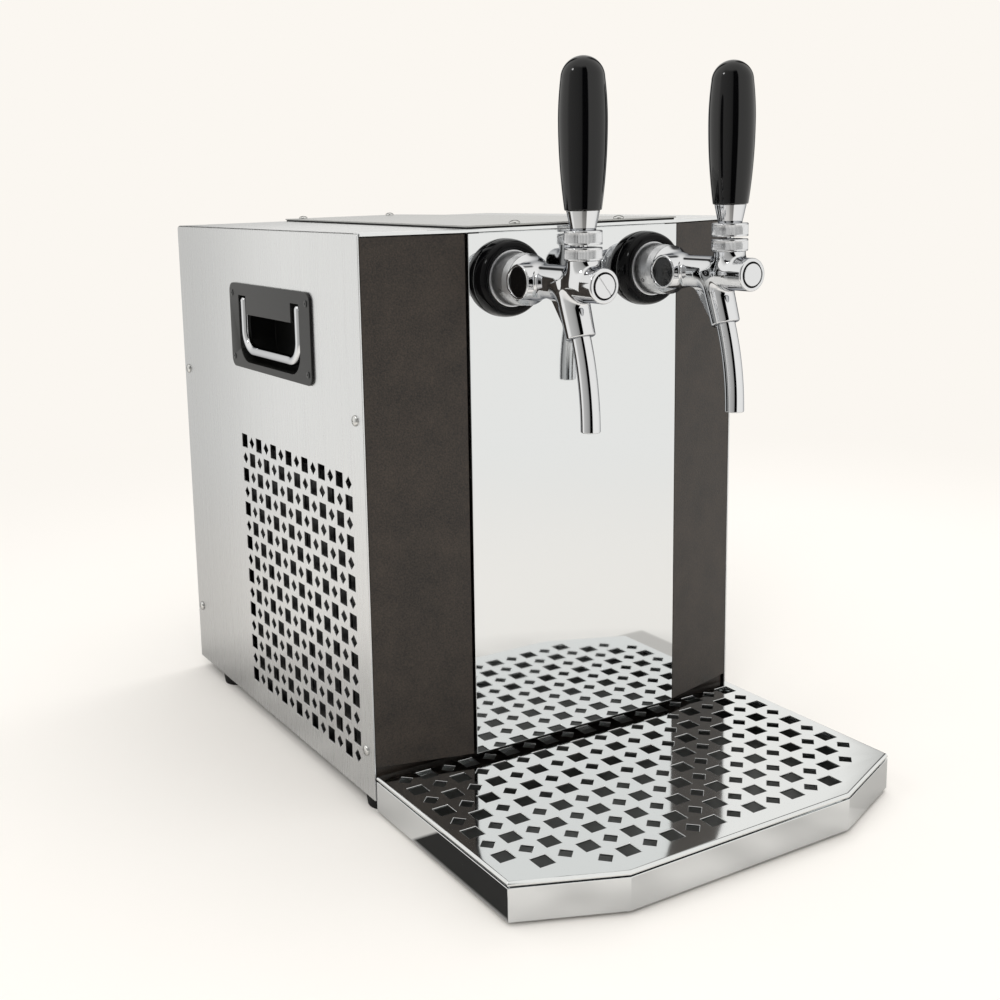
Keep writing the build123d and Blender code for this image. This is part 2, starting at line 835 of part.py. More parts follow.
for side, tap_x in tap_places:
    barrel = Plane(
        origin=(tap_x, mirror_y, tap_height), x_dir=(0, -1, 0), z_dir=(-1, 0, 0)
    )
    barrel_axis = Axis((tap_x, mirror_y, tap_height), (0, -1, 0))
    pivot = (tap_x, mirror_y - lever_position, tap_height + pivot_rise)
    post = Plane(origin=pivot, x_dir=(0, -1, 0), z_dir=(-1, 0, 0))
    post_axis = Axis(pivot, (0, 0, 1))

    with BuildPart() as rosette:
        with BuildSketch(barrel):
            with BuildLine():
                Polyline(
                    (rosette_seat, rosette_crest - rosette_lip),
                    (rosette_seat, shank_radius + gap),
                    (0, shank_radius + gap),
                    (0, rosette_radius),
                )
                EllipticalCenterArc(
                    (0, rosette_crest),
                    rosette_reach,
                    rosette_radius - rosette_crest,
                )
                RadiusArc(
                    (rosette_seat, rosette_crest - rosette_lip),
                    (rosette_reach, rosette_crest),
                    -rosette_lip,
                )
            make_face()
        revolve(axis=barrel_axis)
    write(rosette.part, f"{side}_rosette")

    with BuildPart() as shank:
        with BuildSketch(Plane.XZ.offset(-mirror_y + body_start)):
            with Locations((tap_x, tap_height)):
                Circle(shank_radius)
                Circle(shank_bore, mode=Mode.SUBTRACT)
        extrude(amount=-(body_start + shank_tail))
    write(shank.part, f"{side}_shank")

    with BuildPart() as coupling:
        with BuildSketch(barrel):
            outline(
                (rosette_seat, shank_radius + gap),
                (rosette_seat, coupling_flange),
                (flange_front, coupling_flange),
                (flange_front, coupling_radius - edge_break),
                (flange_front + edge_break, coupling_radius),
                (coupling_end - coupling_nose_length, coupling_radius - coupling_taper),
                (coupling_end, coupling_nose),
                (coupling_end, shank_radius + gap),
            )
        revolve(axis=barrel_axis)
    write(coupling.part, f"{side}_coupling")

    branch_top = (tap_x, mirror_y - branch_position, tap_height)
    branch = Plane(
        origin=branch_top,
        x_dir=(1, 0, 0),
        z_dir=(0, -math.sin(branch_angle), -math.cos(branch_angle)),
    )
    with BuildPart() as tap_body:
        with BuildSketch(barrel):
            with BuildLine():
                Polyline(
                    (body_start, 0),
                    (body_start, body_shoulder),
                    (body_start + shoulder_land, body_shoulder),
                )
                TangentArc(
                    (horn_end, barrel_radius),
                    (body_start + shoulder_land, body_shoulder),
                    tangent=(-1, 0),
                )
                Polyline(
                    (horn_end, barrel_radius),
                    (body_end - edge_break, barrel_radius),
                    (body_end, barrel_radius - edge_break),
                    (body_end, 0),
                    (body_start, 0),
                )
            make_face()
        revolve(axis=barrel_axis)
        with BuildSketch(barrel):
            with Locations((boss_position, 0)):
                Circle(boss_radius)
        extrude(amount=boss_reach)
        with BuildSketch(post):
            outline(
                (0, -pivot_rise),
                (neck_radius, -pivot_rise),
                (neck_radius, neck_top),
                (0, neck_top),
            )
        revolve(axis=post_axis)
        with BuildSketch(branch.offset(branch_length)):
            Circle(branch_end_radius)
        with BuildSketch(branch):
            Circle(branch_top_radius)
        loft()
        with BuildSketch(barrel):
            outline(
                (branch_position - branch_web_reach, -barrel_bore),
                (branch_position, -barrel_bore),
                branch_end,
                (
                    branch_end[0] - branch_end_radius * math.cos(branch_angle),
                    branch_end[1] + branch_end_radius * math.sin(branch_angle),
                ),
            )
        extrude(amount=branch_web / 2, both=True)
        with BuildSketch(barrel):
            outline(
                (body_start, 0),
                (body_start, passage_radius),
                (barrel_bore_start, passage_radius),
                (barrel_bore_start, barrel_bore),
                (body_end, barrel_bore),
                (body_end, 0),
            )
        revolve(axis=barrel_axis, mode=Mode.SUBTRACT)
        with BuildSketch(barrel.offset(boss_reach)):
            with Locations((boss_position, 0)):
                Circle(plug_radius + slip)
        extrude(amount=-plug_depth, mode=Mode.SUBTRACT)
        with BuildSketch(post):
            with BuildLine():
                Polyline(
                    (0, -pivot_rise),
                    (barrel_bore, -pivot_rise),
                    (barrel_bore, -barrel_bore),
                    (seat_radius, -seat_drop),
                )
                ThreePointArc(
                    (seat_radius, -seat_drop),
                    (ball_seat * math.cos(seat_lean), -ball_seat * math.sin(seat_lean)),
                    (neck_seat, neck_top),
                )
                Polyline((neck_seat, neck_top), (0, neck_top), (0, -pivot_rise))
            make_face()
        revolve(axis=post_axis, mode=Mode.SUBTRACT)
        with BuildSketch(branch.offset(branch_length)):
            Circle(spout_radius + slip)
        extrude(amount=-spout_insert - gap, mode=Mode.SUBTRACT)
        with BuildSketch(branch.offset(branch_length)):
            Circle(spout_bore)
        extrude(amount=-branch_length, mode=Mode.SUBTRACT)
    write(tap_body.part, f"{side}_tap_body")

    with BuildPart() as side_plug:
        with BuildSketch(barrel.offset(boss_reach - plug_depth)):
            with Locations((boss_position, 0)):
                Circle(plug_radius)
        extrude(amount=plug_depth - plug_sink)
    write(side_plug.part, f"{side}_side_plug")

    with BuildPart() as end_cap:
        with BuildSketch(barrel):
            outline(
                (cap_front - cap_length, 0),
                (cap_front - cap_length, cap_radius),
                (body_end - cap_face_depth, cap_radius),
                (body_end - cap_face_depth, cap_face),
                (cap_front, cap_face),
                (cap_front, 0),
            )
        revolve(axis=barrel_axis)
        if side == "left":
            with BuildSketch(Plane.XZ.offset(-mirror_y + cap_front)):
                with Locations((tap_x, tap_height)):
                    Rectangle(2 * cap_radius, cap_slot, rotation=cap_slot_angle)
            extrude(amount=-cap_slot, mode=Mode.SUBTRACT)
    write(end_cap.part, f"{side}_end_cap")

    with BuildPart() as valve:
        with BuildSketch(barrel):
            outline(
                (valve_start, 0),
                (valve_start, valve_radius - edge_break),
                (valve_start + edge_break, valve_radius),
                (valve_end, valve_radius),
                (valve_end, 0),
            )
        revolve(axis=barrel_axis)
        with BuildSketch(post):
            outline(
                (0, -pivot_rise - tip_pocket_floor),
                (pocket_radius, -pivot_rise - tip_pocket_floor),
                (pocket_radius, -pivot_rise + tip_pocket_straight),
                (pocket_radius + tip_pocket_flare, -pivot_rise + valve_radius + gap),
                (0, -pivot_rise + valve_radius + gap),
            )
        revolve(axis=post_axis, mode=Mode.SUBTRACT)
    write(valve.part, f"{side}_valve")

    with BuildPart() as bonnet:
        with BuildSketch(post):
            with BuildLine():
                Polyline(
                    (lip_radius, lip_rise),
                    (lip_radius + (bonnet_top - lip_rise), bonnet_top),
                    (ring_radius - neck_edge, bonnet_top),
                    (ring_radius, bonnet_top - neck_edge),
                    (ring_radius, neck_top + neck_edge),
                    (ring_radius - neck_edge, neck_top),
                    (neck_seat, neck_top),
                )
                ThreePointArc((neck_seat, neck_top), (ball_seat, 0), (lip_radius, lip_rise))
            make_face()
        revolve(axis=post_axis)
    write(bonnet.part, f"{side}_bonnet")

    with BuildPart() as lever:
        with BuildSketch(post):
            with BuildLine():
                Polyline((0, stud_top), (0, -tip_drop - tip_radius))
                ThreePointArc(
                    (0, -tip_drop - tip_radius),
                    (tip_radius, -tip_drop),
                    (arm_radius, -tip_shoulder),
                )
                Line((arm_radius, -tip_shoulder), (arm_radius, -arm_root))
                ThreePointArc((arm_radius, -arm_root), (ball_radius, 0), (stud_radius, stud_root))
                Polyline((stud_radius, stud_root), (stud_radius, stud_top), (0, stud_top))
            make_face()
        revolve(axis=post_axis)
    write(lever.part, f"{side}_lever")

    with BuildPart() as lever_collar:
        with BuildSketch(post):
            with BuildLine():
                Polyline(
                    (collar_rim, collar_bottom),
                    (ring_radius, collar_bottom),
                    (ring_radius, collar_top - neck_edge),
                    (ring_radius - neck_edge, collar_top),
                    (collar_hole, collar_top),
                    (collar_hole, collar_inner),
                )
                ThreePointArc(
                    (collar_hole, collar_inner),
                    (collar_sphere * math.sin(arc_lean), collar_sphere * math.cos(arc_lean)),
                    (collar_rim, collar_bottom),
                )
            make_face()
        revolve(axis=post_axis)
    write(lever_collar.part, f"{side}_lever_collar")

    with BuildPart() as ferrule:
        with BuildSketch(post):
            outline(
                (collar_hole, collar_top),
                (ferrule_foot, collar_top),
                (ferrule_head, ferrule_top),
                (collar_hole, ferrule_top),
            )
        revolve(axis=post_axis)
    write(ferrule.part, f"{side}_ferrule")

    with BuildPart() as tap_handle:
        with BuildSketch(post):
            with BuildLine():
                Line((0, ferrule_top), (handle_foot, ferrule_top))
                widest = (handle_widest, ferrule_top + handle_widest_rise)
                crown = (handle_crown, ferrule_top + handle_crown_rise)
                TangentArc(widest, (handle_foot, ferrule_top), tangent=(0, -1))
                TangentArc(widest, crown, tangent=(0, 1))
                TangentArc((0, handle_top), crown, tangent=(1, 0))
                Line((0, handle_top), (0, ferrule_top))
            make_face()
        revolve(axis=post_axis)
        with BuildSketch(Plane.XY.offset(pivot[2] + ferrule_top)):
            with Locations((pivot[0], pivot[1])):
                Circle(collar_hole)
        extrude(amount=handle_bore_depth, mode=Mode.SUBTRACT)
    write(tap_handle.part, f"{side}_tap_handle")

    with BuildPart() as spout:
        with BuildLine(barrel) as spout_path:
            Line(spout_start, branch_end)
            ThreePointArc(branch_end, spout_middle, spout_tip)
        for radius, mode in ((spout_radius, Mode.ADD), (spout_bore, Mode.SUBTRACT)):
            with BuildSketch(branch.offset(branch_length - spout_insert)):
                Circle(radius)
            sweep(path=spout_path.wire(), mode=mode)
    write(spout.part, f"{side}_spout")

with BuildPart() as shank_nuts:
    with BuildSketch(Plane.XZ.offset(-mirror_y + nut_front)):
        with Locations((0, tap_height)):
            with GridLocations(tap_spread, 1, 2, 1):
                RegularPolygon(nut_radius, 6)
                Circle(shank_radius + slip, mode=Mode.SUBTRACT)
    extrude(amount=-nut_height)
write(shank_nuts.part, "shank_nuts")

# ======== cooling: condenser behind the grille, fan, compressor and cold block
condenser_left = -half_width + sheet + condenser_gap
condenser_right = condenser_left + condenser_size[0]
condenser_middle = front_y + fan_depth
with BuildPart() as condenser:
    with BuildSketch(Plane.XY.offset(pan_floor)):
        with Locations(((condenser_left + condenser_right) / 2, condenser_middle)):
            Rectangle(condenser_size[0], condenser_size[1])
    extrude(amount=condenser_size[2])
    with BuildSketch(Plane.YZ.offset(condenser_left)):
        with Locations((condenser_middle, pan_floor + condenser_size[2] / 2)):
            with GridLocations(fin_pitch, 1, int(condenser_size[1] / fin_pitch), 1):
                Rectangle(fin_groove, condenser_size[2])
    extrude(amount=fin_depth, mode=Mode.SUBTRACT)
write(condenser.part, "condenser")

fan_centre = (condenser_middle, fan_height)
strut_x = condenser_right + shroud_thickness
with BuildPart() as fan_shroud:
    with BuildSketch(Plane.YZ.offset(condenser_right)):
        with Locations(fan_centre):
            RectangleRounded(shroud_size, shroud_size, fan_frame_corner)
            Circle(fan_radius + fan_tip_gap, mode=Mode.SUBTRACT)
    extrude(amount=shroud_thickness)
    with BuildSketch(Plane.YZ.offset(strut_x)):
        with Locations(fan_centre):
            Rectangle(shroud_size - 2 * fan_frame_edge, fan_strut)
            Rectangle(fan_strut, shroud_size - 2 * fan_frame_edge)
            Circle(motor_radius)
    extrude(amount=fan_strut_thickness)
    with BuildSketch(Plane.YZ.offset(strut_x + fan_strut_thickness)):
        with Locations(fan_centre):
            Circle(motor_radius)
    extrude(amount=motor_length)
    with BuildSketch(Plane.YZ.offset(strut_x)):
        with Locations(fan_centre):
            Circle(fan_shaft)
    extrude(amount=-rotor_inset - rotor_length)
write(fan_shroud.part, "fan_shroud")

# Each blade twists from a steep root at the hub to a flatter tip.
rotor_front_x = strut_x - rotor_inset
rotor_middle_x = rotor_front_x - rotor_length / 2
with BuildPart() as fan_rotor:
    with BuildSketch(Plane.YZ.offset(rotor_front_x)):
        with Locations(fan_centre):
            Circle(fan_hub)
    extrude(amount=-rotor_length)
    for blade in range(fan_blades):
        turn = 2 * math.pi * blade / fan_blades
        outward = (0, math.cos(turn), math.sin(turn))
        root = Plane(
            origin=(rotor_middle_x, *fan_centre), x_dir=(1, 0, 0), z_dir=outward
        ).offset(fan_hub - rotor_inset)
        with BuildSketch(root):
            Rectangle(blade_root[0], blade_root[1], rotation=blade_root[2])
        with BuildSketch(root.offset(fan_radius - fan_hub + rotor_inset)):
            Rectangle(blade_tip[0], blade_tip[1], rotation=blade_tip[2])
        loft()
    with BuildSketch(Plane.YZ.offset(rotor_front_x)):
        with Locations(fan_centre):
            Circle(fan_shaft + run_gap)
    extrude(amount=-rotor_length, mode=Mode.SUBTRACT)
write(fan_rotor.part, "fan_rotor")

compressor_middle = (compressor_x, rear_y - compressor_rear_inset)
with BuildPart() as compressor:
    with BuildSketch(Plane.XY.offset(pan_floor)):
        with Locations(compressor_middle):
            with GridLocations(2 * compressor_radius, compressor_foot_spread, 2, 2):
                Circle(compressor_foot)
    extrude(amount=compressor_foot)
    with BuildSketch(Plane.XY.offset(pan_floor + compressor_foot)):
        with Locations(compressor_middle):
            RectangleRounded(compressor_plate[0], compressor_plate[1], compressor_foot)
    extrude(amount=compressor_plate[2])
    with BuildSketch(Plane.XY.offset(pan_floor + compressor_foot + compressor_plate[2])):
        with Locations(compressor_middle):
            Circle(compressor_radius)
    extrude(amount=compressor_height)
    crown_edge = edges().filter_by(GeomType.CIRCLE).group_by(Axis.Z)[-1]
    chamfer(crown_edge, compressor_shoulder)
write(compressor.part, "compressor")

block_middle = (block_middle_x, front_y + block_front_depth + block_length / 2)
block_top = pan_floor + block_height
line_drops = (front_y + line_drop_depth, front_y + return_drop_depth)
with BuildPart() as cold_block:
    with BuildSketch(Plane.XY.offset(pan_floor)):
        with Locations(block_middle):
            RectangleRounded(block_width, block_length, block_corner)
    extrude(amount=block_height)
    with BuildSketch(Plane.XY.offset(block_top)):
        for drop_y in line_drops:
            with Locations((0, drop_y)):
                with GridLocations(tap_spread, 1, 2, 1):
                    Circle(line_radius + slip)
    extrude(amount=-line_insert, mode=Mode.SUBTRACT)
write(cold_block.part, "cold_block")

# Beer lines: from each rear inlet down into the cold block, and up from it to the shank.
shank_end_y = mirror_y + shank_tail
inlet_end_y = rear_y - sheet - inlet_tail
line_starts = (shank_end_y - line_insert, inlet_end_y + line_insert)
for side, line_x in tap_places:
    with BuildPart() as beer_line:
        for start_y, drop_y in zip(line_starts, line_drops):
            toward = math.copysign(1, drop_y - start_y)
            with BuildLine(Plane.YZ.offset(line_x)) as line_path:
                FilletPolyline(
                    (start_y, tap_height),
                    (drop_y, tap_height),
                    (drop_y, block_top - line_insert),
                    radius=line_bend,
                )
            line_start = Plane(origin=(line_x, start_y, tap_height), z_dir=(0, toward, 0))
            for radius, mode in ((line_radius, Mode.ADD), (line_bore, Mode.SUBTRACT)):
                with BuildSketch(line_start):
                    Circle(radius)
                sweep(path=line_path.wire(), mode=mode)
    write(beer_line.part, f"{side}_beer_line")

# ======== rear fittings
for side, inlet_x in tap_places:
    with BuildPart() as beer_inlet:
        with BuildSketch(Plane.XZ.offset(-rear_y)):
            with Locations((inlet_x, tap_height)):
                RegularPolygon(inlet_flange, 6)
        extrude(amount=-inlet_flange_depth)
        with BuildSketch(Plane.XZ.offset(-rear_y - rear_reach)):
            with Locations((inlet_x, tap_height)):
                Circle(inlet_radius)
        extrude(amount=rear_reach + sheet + inlet_tail)
        with BuildSketch(Plane.XZ.offset(-rear_y - rear_reach)):
            with Locations((inlet_x, tap_height)):
                Circle(inlet_bore)
        extrude(amount=rear_reach, mode=Mode.SUBTRACT)
        with BuildSketch(Plane.XZ.offset(-rear_y)):
            with Locations((inlet_x, tap_height)):
                Circle(line_bore)
        extrude(amount=sheet + inlet_tail, mode=Mode.SUBTRACT)
        with BuildSketch(Plane.XZ.offset(-inlet_end_y)):
            with Locations((inlet_x, tap_height)):
                Circle(line_radius + slip)
        extrude(amount=-line_insert, mode=Mode.SUBTRACT)
    write(beer_inlet.part, f"{side}_beer_inlet")

socket_z = module_height + socket_rise
rocker_z = module_height + rocker_rise
rocker_y = rear_y - rocker_pivot_depth
rocker_axis_x = rocker_width / 2 + rocker_pin_reach
with BuildPart() as power_inlet:
    with BuildSketch(Plane.XZ.offset(-rear_y)):
        with Locations((module_x, module_height)):
            RectangleRounded(module_rim[0], module_rim[1], module_rim_corner)
    extrude(amount=-module_flange)
    with BuildSketch(Plane.XZ.offset(-rear_y)):
        with Locations((module_x, module_height)):
            Rectangle(module_width, module_tall)
    extrude(amount=module_depth)
    with BuildSketch(Plane.XZ.offset(-rear_y - module_flange)):
        with Locations((module_x, socket_z)):
            Rectangle(socket_width, socket_height)
            chamfer(vertices().group_by(Axis.Y)[-1], socket_chamfer)
    extrude(amount=socket_depth + module_flange, mode=Mode.SUBTRACT)
    with BuildSketch(Plane.XZ.offset(-rear_y - module_flange)):
        with Locations((module_x, rocker_z)):
            Rectangle(rocker_width + 2 * gap, rocker_height + 2 * gap)
    extrude(amount=rocker_well + module_flange, mode=Mode.SUBTRACT)
    with BuildSketch(Plane.YZ.offset(module_x)):
        with Locations((rocker_y, rocker_z)):
            Circle(rocker_pin + run_gap)
    extrude(amount=rocker_axis_x + gap, both=True, mode=Mode.SUBTRACT)
    with BuildSketch(Plane.XZ.offset(-rear_y + socket_depth)):
        with Locations((module_x, socket_z)):
            with GridLocations(2 * pin_spread, 1, 2, 1):
                Rectangle(pin_width, pin_height)
        with Locations((module_x, socket_z + earth_rise)):
            Rectangle(pin_width, pin_height)
    extrude(amount=-pin_length)
write(power_inlet.part, "power_inlet")

# The rocker turns on a pin between the walls of its well.
rocker_face_y = rear_y + module_flange
rocker_end = rocker_height / 2 - rocker_corner
with BuildPart() as power_switch:
    with BuildSketch(Plane.YZ.offset(module_x)):
        outline(
            (rocker_y - rocker_heel, rocker_z - rocker_heel),
            (rocker_face_y + rocker_high, rocker_z - rocker_end),
            (rocker_face_y + rocker_dip, rocker_z),
            (rocker_face_y + rocker_low, rocker_z + rocker_end),
            (rocker_y - rocker_heel, rocker_z + rocker_heel),
        )
    extrude(amount=rocker_width / 2, both=True)
    with BuildSketch(Plane.YZ.offset(module_x)):
        with Locations((rocker_y, rocker_z)):
            Circle(rocker_pin)
    extrude(amount=rocker_axis_x, both=True)
write(power_switch.part, "power_switch")

with BuildPart() as thermostat_knob:
    with BuildSketch(Plane.XZ.offset(-rear_y - gap)):
        with Locations((knob_x, knob_height)):
            Circle(knob_radius)
    extrude(amount=-knob_reach, taper=knob_taper)
    with BuildSketch(Plane.XZ.offset(-rear_y - gap)):
        with Locations((knob_x, knob_height)):
            Circle(knob_shaft)
    extrude(amount=knob_tail)
write(thermostat_knob.part, "thermostat_knob")
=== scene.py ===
# Countertop beer cooler with two taps: its looks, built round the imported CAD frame.
# Lengths in the dictionaries are in millimetres and angles in degrees, unless a note says otherwise.
import json
import math

import bmesh
import bpy
import numpy as np
from mathutils import Matrix, Vector

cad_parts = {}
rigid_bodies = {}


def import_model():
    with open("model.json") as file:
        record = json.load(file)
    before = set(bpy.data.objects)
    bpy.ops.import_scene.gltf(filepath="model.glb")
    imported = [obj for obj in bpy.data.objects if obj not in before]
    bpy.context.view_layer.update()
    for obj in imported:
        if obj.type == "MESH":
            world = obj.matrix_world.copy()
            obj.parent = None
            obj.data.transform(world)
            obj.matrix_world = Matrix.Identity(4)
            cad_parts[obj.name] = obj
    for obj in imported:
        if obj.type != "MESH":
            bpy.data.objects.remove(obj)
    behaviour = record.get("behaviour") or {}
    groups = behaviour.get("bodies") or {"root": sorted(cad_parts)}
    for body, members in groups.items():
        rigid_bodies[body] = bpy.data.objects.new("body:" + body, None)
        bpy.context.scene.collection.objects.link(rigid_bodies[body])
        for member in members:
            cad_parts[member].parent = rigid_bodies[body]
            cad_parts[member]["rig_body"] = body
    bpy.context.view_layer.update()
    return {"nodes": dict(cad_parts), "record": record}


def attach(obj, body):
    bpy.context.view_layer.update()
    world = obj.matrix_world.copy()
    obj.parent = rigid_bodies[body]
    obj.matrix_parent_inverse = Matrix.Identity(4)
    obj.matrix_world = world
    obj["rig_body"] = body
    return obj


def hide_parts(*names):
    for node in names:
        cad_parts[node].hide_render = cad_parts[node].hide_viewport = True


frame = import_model()
nodes = frame["nodes"]
slotOf = {row["node"]: row["material_slot"] for row in frame["record"]["subparts"]}
bodyOf = {name: node["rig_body"] for name, node in nodes.items()}
scene = bpy.context.scene
mm = 0.001

# ---- camera: at the photograph's place, in front of the left corner and a little above the lid
cameraSetup = {
    "place": (-0.60864, -0.92309, 0.48385),  # metres
    "yaw": 29.08,
    "pitch": -10.1,
    "roll": -1.58,
    "lens": 46.367,
    "sensor": 36.0,
    "shift": (0.0957, -0.0863),
}


def makeCamera(setup):
    # looks along yaw, measured from +Y towards +X, and pitch, then rolls about its own view line
    yaw, pitch, roll = (math.radians(setup[k]) for k in ("yaw", "pitch", "roll"))
    ahead = Vector((math.sin(yaw) * math.cos(pitch), math.cos(yaw) * math.cos(pitch), math.sin(pitch)))
    level = Vector((math.cos(yaw), -math.sin(yaw), 0))
    above = level.cross(ahead)
    side = level * math.cos(roll) + above * math.sin(roll)
    top = above * math.cos(roll) - level * math.sin(roll)
    camera = bpy.data.objects.new("camera", bpy.data.cameras.new("camera"))
    camera.data.lens = setup["lens"]
    camera.data.sensor_width = setup["sensor"]
    camera.data.shift_x, camera.data.shift_y = setup["shift"]
    camera.data.clip_start, camera.data.clip_end = 0.05, 100
    camera.matrix_world = Matrix.Translation(setup["place"]) @ Matrix(
        (side, top, -ahead)
    ).transposed().to_4x4()
    scene.collection.objects.link(camera)
    scene.camera = camera


makeCamera(cameraSetup)
scene.view_settings.view_transform = "Standard"
print("camera placed")


# ---- shader helpers
def toLinear(hexColour):
    # sRGB to linear: up to 0.04045 divided by 12.92, above it ((c + 0.055) / 1.055) to the power 2.4
    parts = (int(hexColour[i : i + 2], 16) / 255 for i in (1, 3, 5))
    return [c / 12.92 if c <= 0.04045 else ((c + 0.055) / 1.055) ** 2.4 for c in parts] + [1.0]


def addNode(tree, kind, inputs=None, **settings):
    # one node: each input is a plain value or the output socket that feeds it
    node = tree.nodes.new(kind)
    for name, value in settings.items():
        setattr(node, name, value)
    for key, value in (inputs or {}).items():
        if isinstance(value, bpy.types.NodeSocket):
            tree.links.new(value, node.inputs[key])
        else:
            node.inputs[key].default_value = value
    return node


def startMaterial(name, constants):
    # an empty material with one Principled shader, whose fixed values sit on its own sockets
    material = bpy.data.materials.new(name)
    material.use_nodes = True
    tree = material.node_tree
    tree.nodes.clear()
    shader = addNode(tree, "ShaderNodeBsdfPrincipled", constants)
    addNode(tree, "ShaderNodeOutputMaterial", {"Surface": shader.outputs["BSDF"]})
    place = addNode(tree, "ShaderNodeTexCoord").outputs["Object"]
    return material, tree, shader, place


def connect(tree, shader, **sockets):
    for name, socket in sockets.items():
        tree.links.new(socket, shader.inputs[name.replace("_", " ")])


# ---- materials
def brushedSteel(name, look):
    # 304 stainless sheet, belt-ground: straight scratches spread the light, so it shines like satin
    material, tree, shader, place = startMaterial(name, {"Metallic": 1.0})
    scale = [1 / (size * mm) for size in look["grain"]]
    along = addNode(tree, "ShaderNodeMapping", {"Vector": place, "Scale": scale}).outputs[0]
    scratch = addNode(tree, "ShaderNodeTexNoise", {"Vector": along, "Scale": 1.0, "Detail": 4.0})
    coarse = [1 / (size * look["streak"] * mm) for size in look["grain"]]
    wide = addNode(tree, "ShaderNodeMapping", {"Vector": place, "Scale": coarse}).outputs[0]
    streak = addNode(tree, "ShaderNodeTexNoise", {"Vector": wide, "Scale": 1.0, "Detail": 2.0})
    both = addNode(
        tree, "ShaderNodeMix", {0: 0.22, 2: scratch.outputs[0], 3: streak.outputs[0]}
    )
    spread = addNode(tree, "ShaderNodeMapRange", {0: both.outputs[0], 1: 0.32, 2: 0.68})
    shade = addNode(
        tree,
        "ShaderNodeMix",
        {0: spread.outputs[0], 6: toLinear(look["dark"]), 7: toLinear(look["light"])},
        data_type="RGBA",
    )
    rough = addNode(
        tree, "ShaderNodeMapRange", {0: spread.outputs[0], 3: look["rough"][0], 4: look["rough"][1]}
    )
    bump = addNode(
        tree, "ShaderNodeBump", {"Strength": look["bump"], "Distance": 0.0002, "Height": scratch.outputs[0]}
    )
    # painted shade: the sheet's colour is darkened a little towards the floor and towards the rear
    split = addNode(tree, "ShaderNodeSeparateXYZ", {0: place})
    low = addNode(tree, "ShaderNodeMapRange", {0: split.outputs[2], 1: 0.02, 2: 0.26, 3: look["low"], 4: 1.0})
    rear = addNode(
        tree,
        "ShaderNodeMapRange",
        {0: split.outputs[1], 1: 0.02, 2: 0.29, 3: 1.0, 4: look["rear"]},
        interpolation_type="SMOOTHSTEP",
    )
    dull_and_painted_shade = addNode(tree, "ShaderNodeMath", {0: low.outputs[0], 1: rear.outputs[0]}, operation="MULTIPLY")
    # the grain's colour times the painted shade
    grain_with_painted_shade = addNode(
        tree, "ShaderNodeVectorMath", {0: shade.outputs[2], "Scale": dull_and_painted_shade.outputs[0]}, operation="SCALE"
    )
    connect(tree, shader, Base_Color=grain_with_painted_shade.outputs[0], Roughness=rough.outputs[0], Normal=bump.outputs[0])
    return material


def polishedMetal(name, look):
    # buffed or plated metal: a sharp mirror with a faint haze of polishing marks, dimmer at glancing angles
    material, tree, shader, place = startMaterial(
        name,
        {
            "Metallic": 1.0,
            "Base Color": toLinear(look["colour"]),
            "Specular Tint": toLinear(look.get("glance", "#FFFFFF")),
        },
    )
    haze = addNode(tree, "ShaderNodeTexNoise", {"Vector": place, "Scale": 1 / (look["haze"] * mm), "Detail": 3.0})
    rough = addNode(
        tree, "ShaderNodeMapRange", {0: haze.outputs[0], 3: look["rough"][0], 4: look["rough"][1]}
    )
    bump = addNode(
        tree,
        "ShaderNodeBump",
        {"Strength": look["bump"], "Distance": look.get("depth", 0.2) * mm, "Height": haze.outputs[0]},
    )
    connect(tree, shader, Roughness=rough.outputs[0], Normal=bump.outputs[0])
    if "inside" in look:
        # the pan's inner faces were never buffed, so they are rougher, and their darker colour is painted shade of
        # the pan's hollow: they carry a value of 1 in their own attribute
        inner = addNode(tree, "ShaderNodeAttribute", attribute_name="unbuffed_and_painted_shade").outputs["Fac"]
        tint = addNode(
            tree,
            "ShaderNodeMix",
            {0: inner, 6: toLinear(look["colour"]), 7: toLinear(look["inside"])},
            data_type="RGBA",
        )
        dull_and_painted_shade = addNode(tree, "ShaderNodeMix", {0: inner, 2: rough.outputs[0], 3: look["dull_and_painted_shade"]})
        connect(tree, shader, Base_Color=tint.outputs[2], Roughness=dull_and_painted_shade.outputs[0])
    return material


def grainedCoat(name, look):
    # paint, rubber or moulding: a coloured skin over fine grit that breaks up the gloss
    material, tree, shader, place = startMaterial(
        name,
        {"Metallic": look.get("metallic", 0.0), "Specular IOR Level": look.get("sheen", 0.5)},
    )
    grit = addNode(
        tree, "ShaderNodeTexNoise", {"Vector": place, "Scale": 1 / (look["grit"] * mm), "Detail": 3.0}
    )
    cloud = addNode(
        tree, "ShaderNodeTexNoise", {"Vector": place, "Scale": 1 / (look.get("cloud", 80) * mm), "Detail": 3.0}
    )
    both = addNode(
        tree, "ShaderNodeMix", {0: look.get("speckle", 0.3), 2: cloud.outputs[0], 3: grit.outputs[0]}
    )
    spread = addNode(tree, "ShaderNodeMapRange", {0: both.outputs[0], 1: 0.32, 2: 0.68})
    tint = addNode(
        tree,
        "ShaderNodeMix",
        {0: spread.outputs[0], 6: toLinear(look["dark"]), 7: toLinear(look["light"])},
        data_type="RGBA",
    )
    rough = addNode(
        tree, "ShaderNodeMapRange", {0: grit.outputs[0], 3: look["rough"][0], 4: look["rough"][1]}
    )
    bump = addNode(
        tree,
        "ShaderNodeBump",
        {"Strength": look["bump"], "Distance": look.get("depth", 0.2) * mm, "Height": grit.outputs[0]},
    )
    connect(tree, shader, Base_Color=tint.outputs[2], Roughness=rough.outputs[0], Normal=bump.outputs[0])
    return material


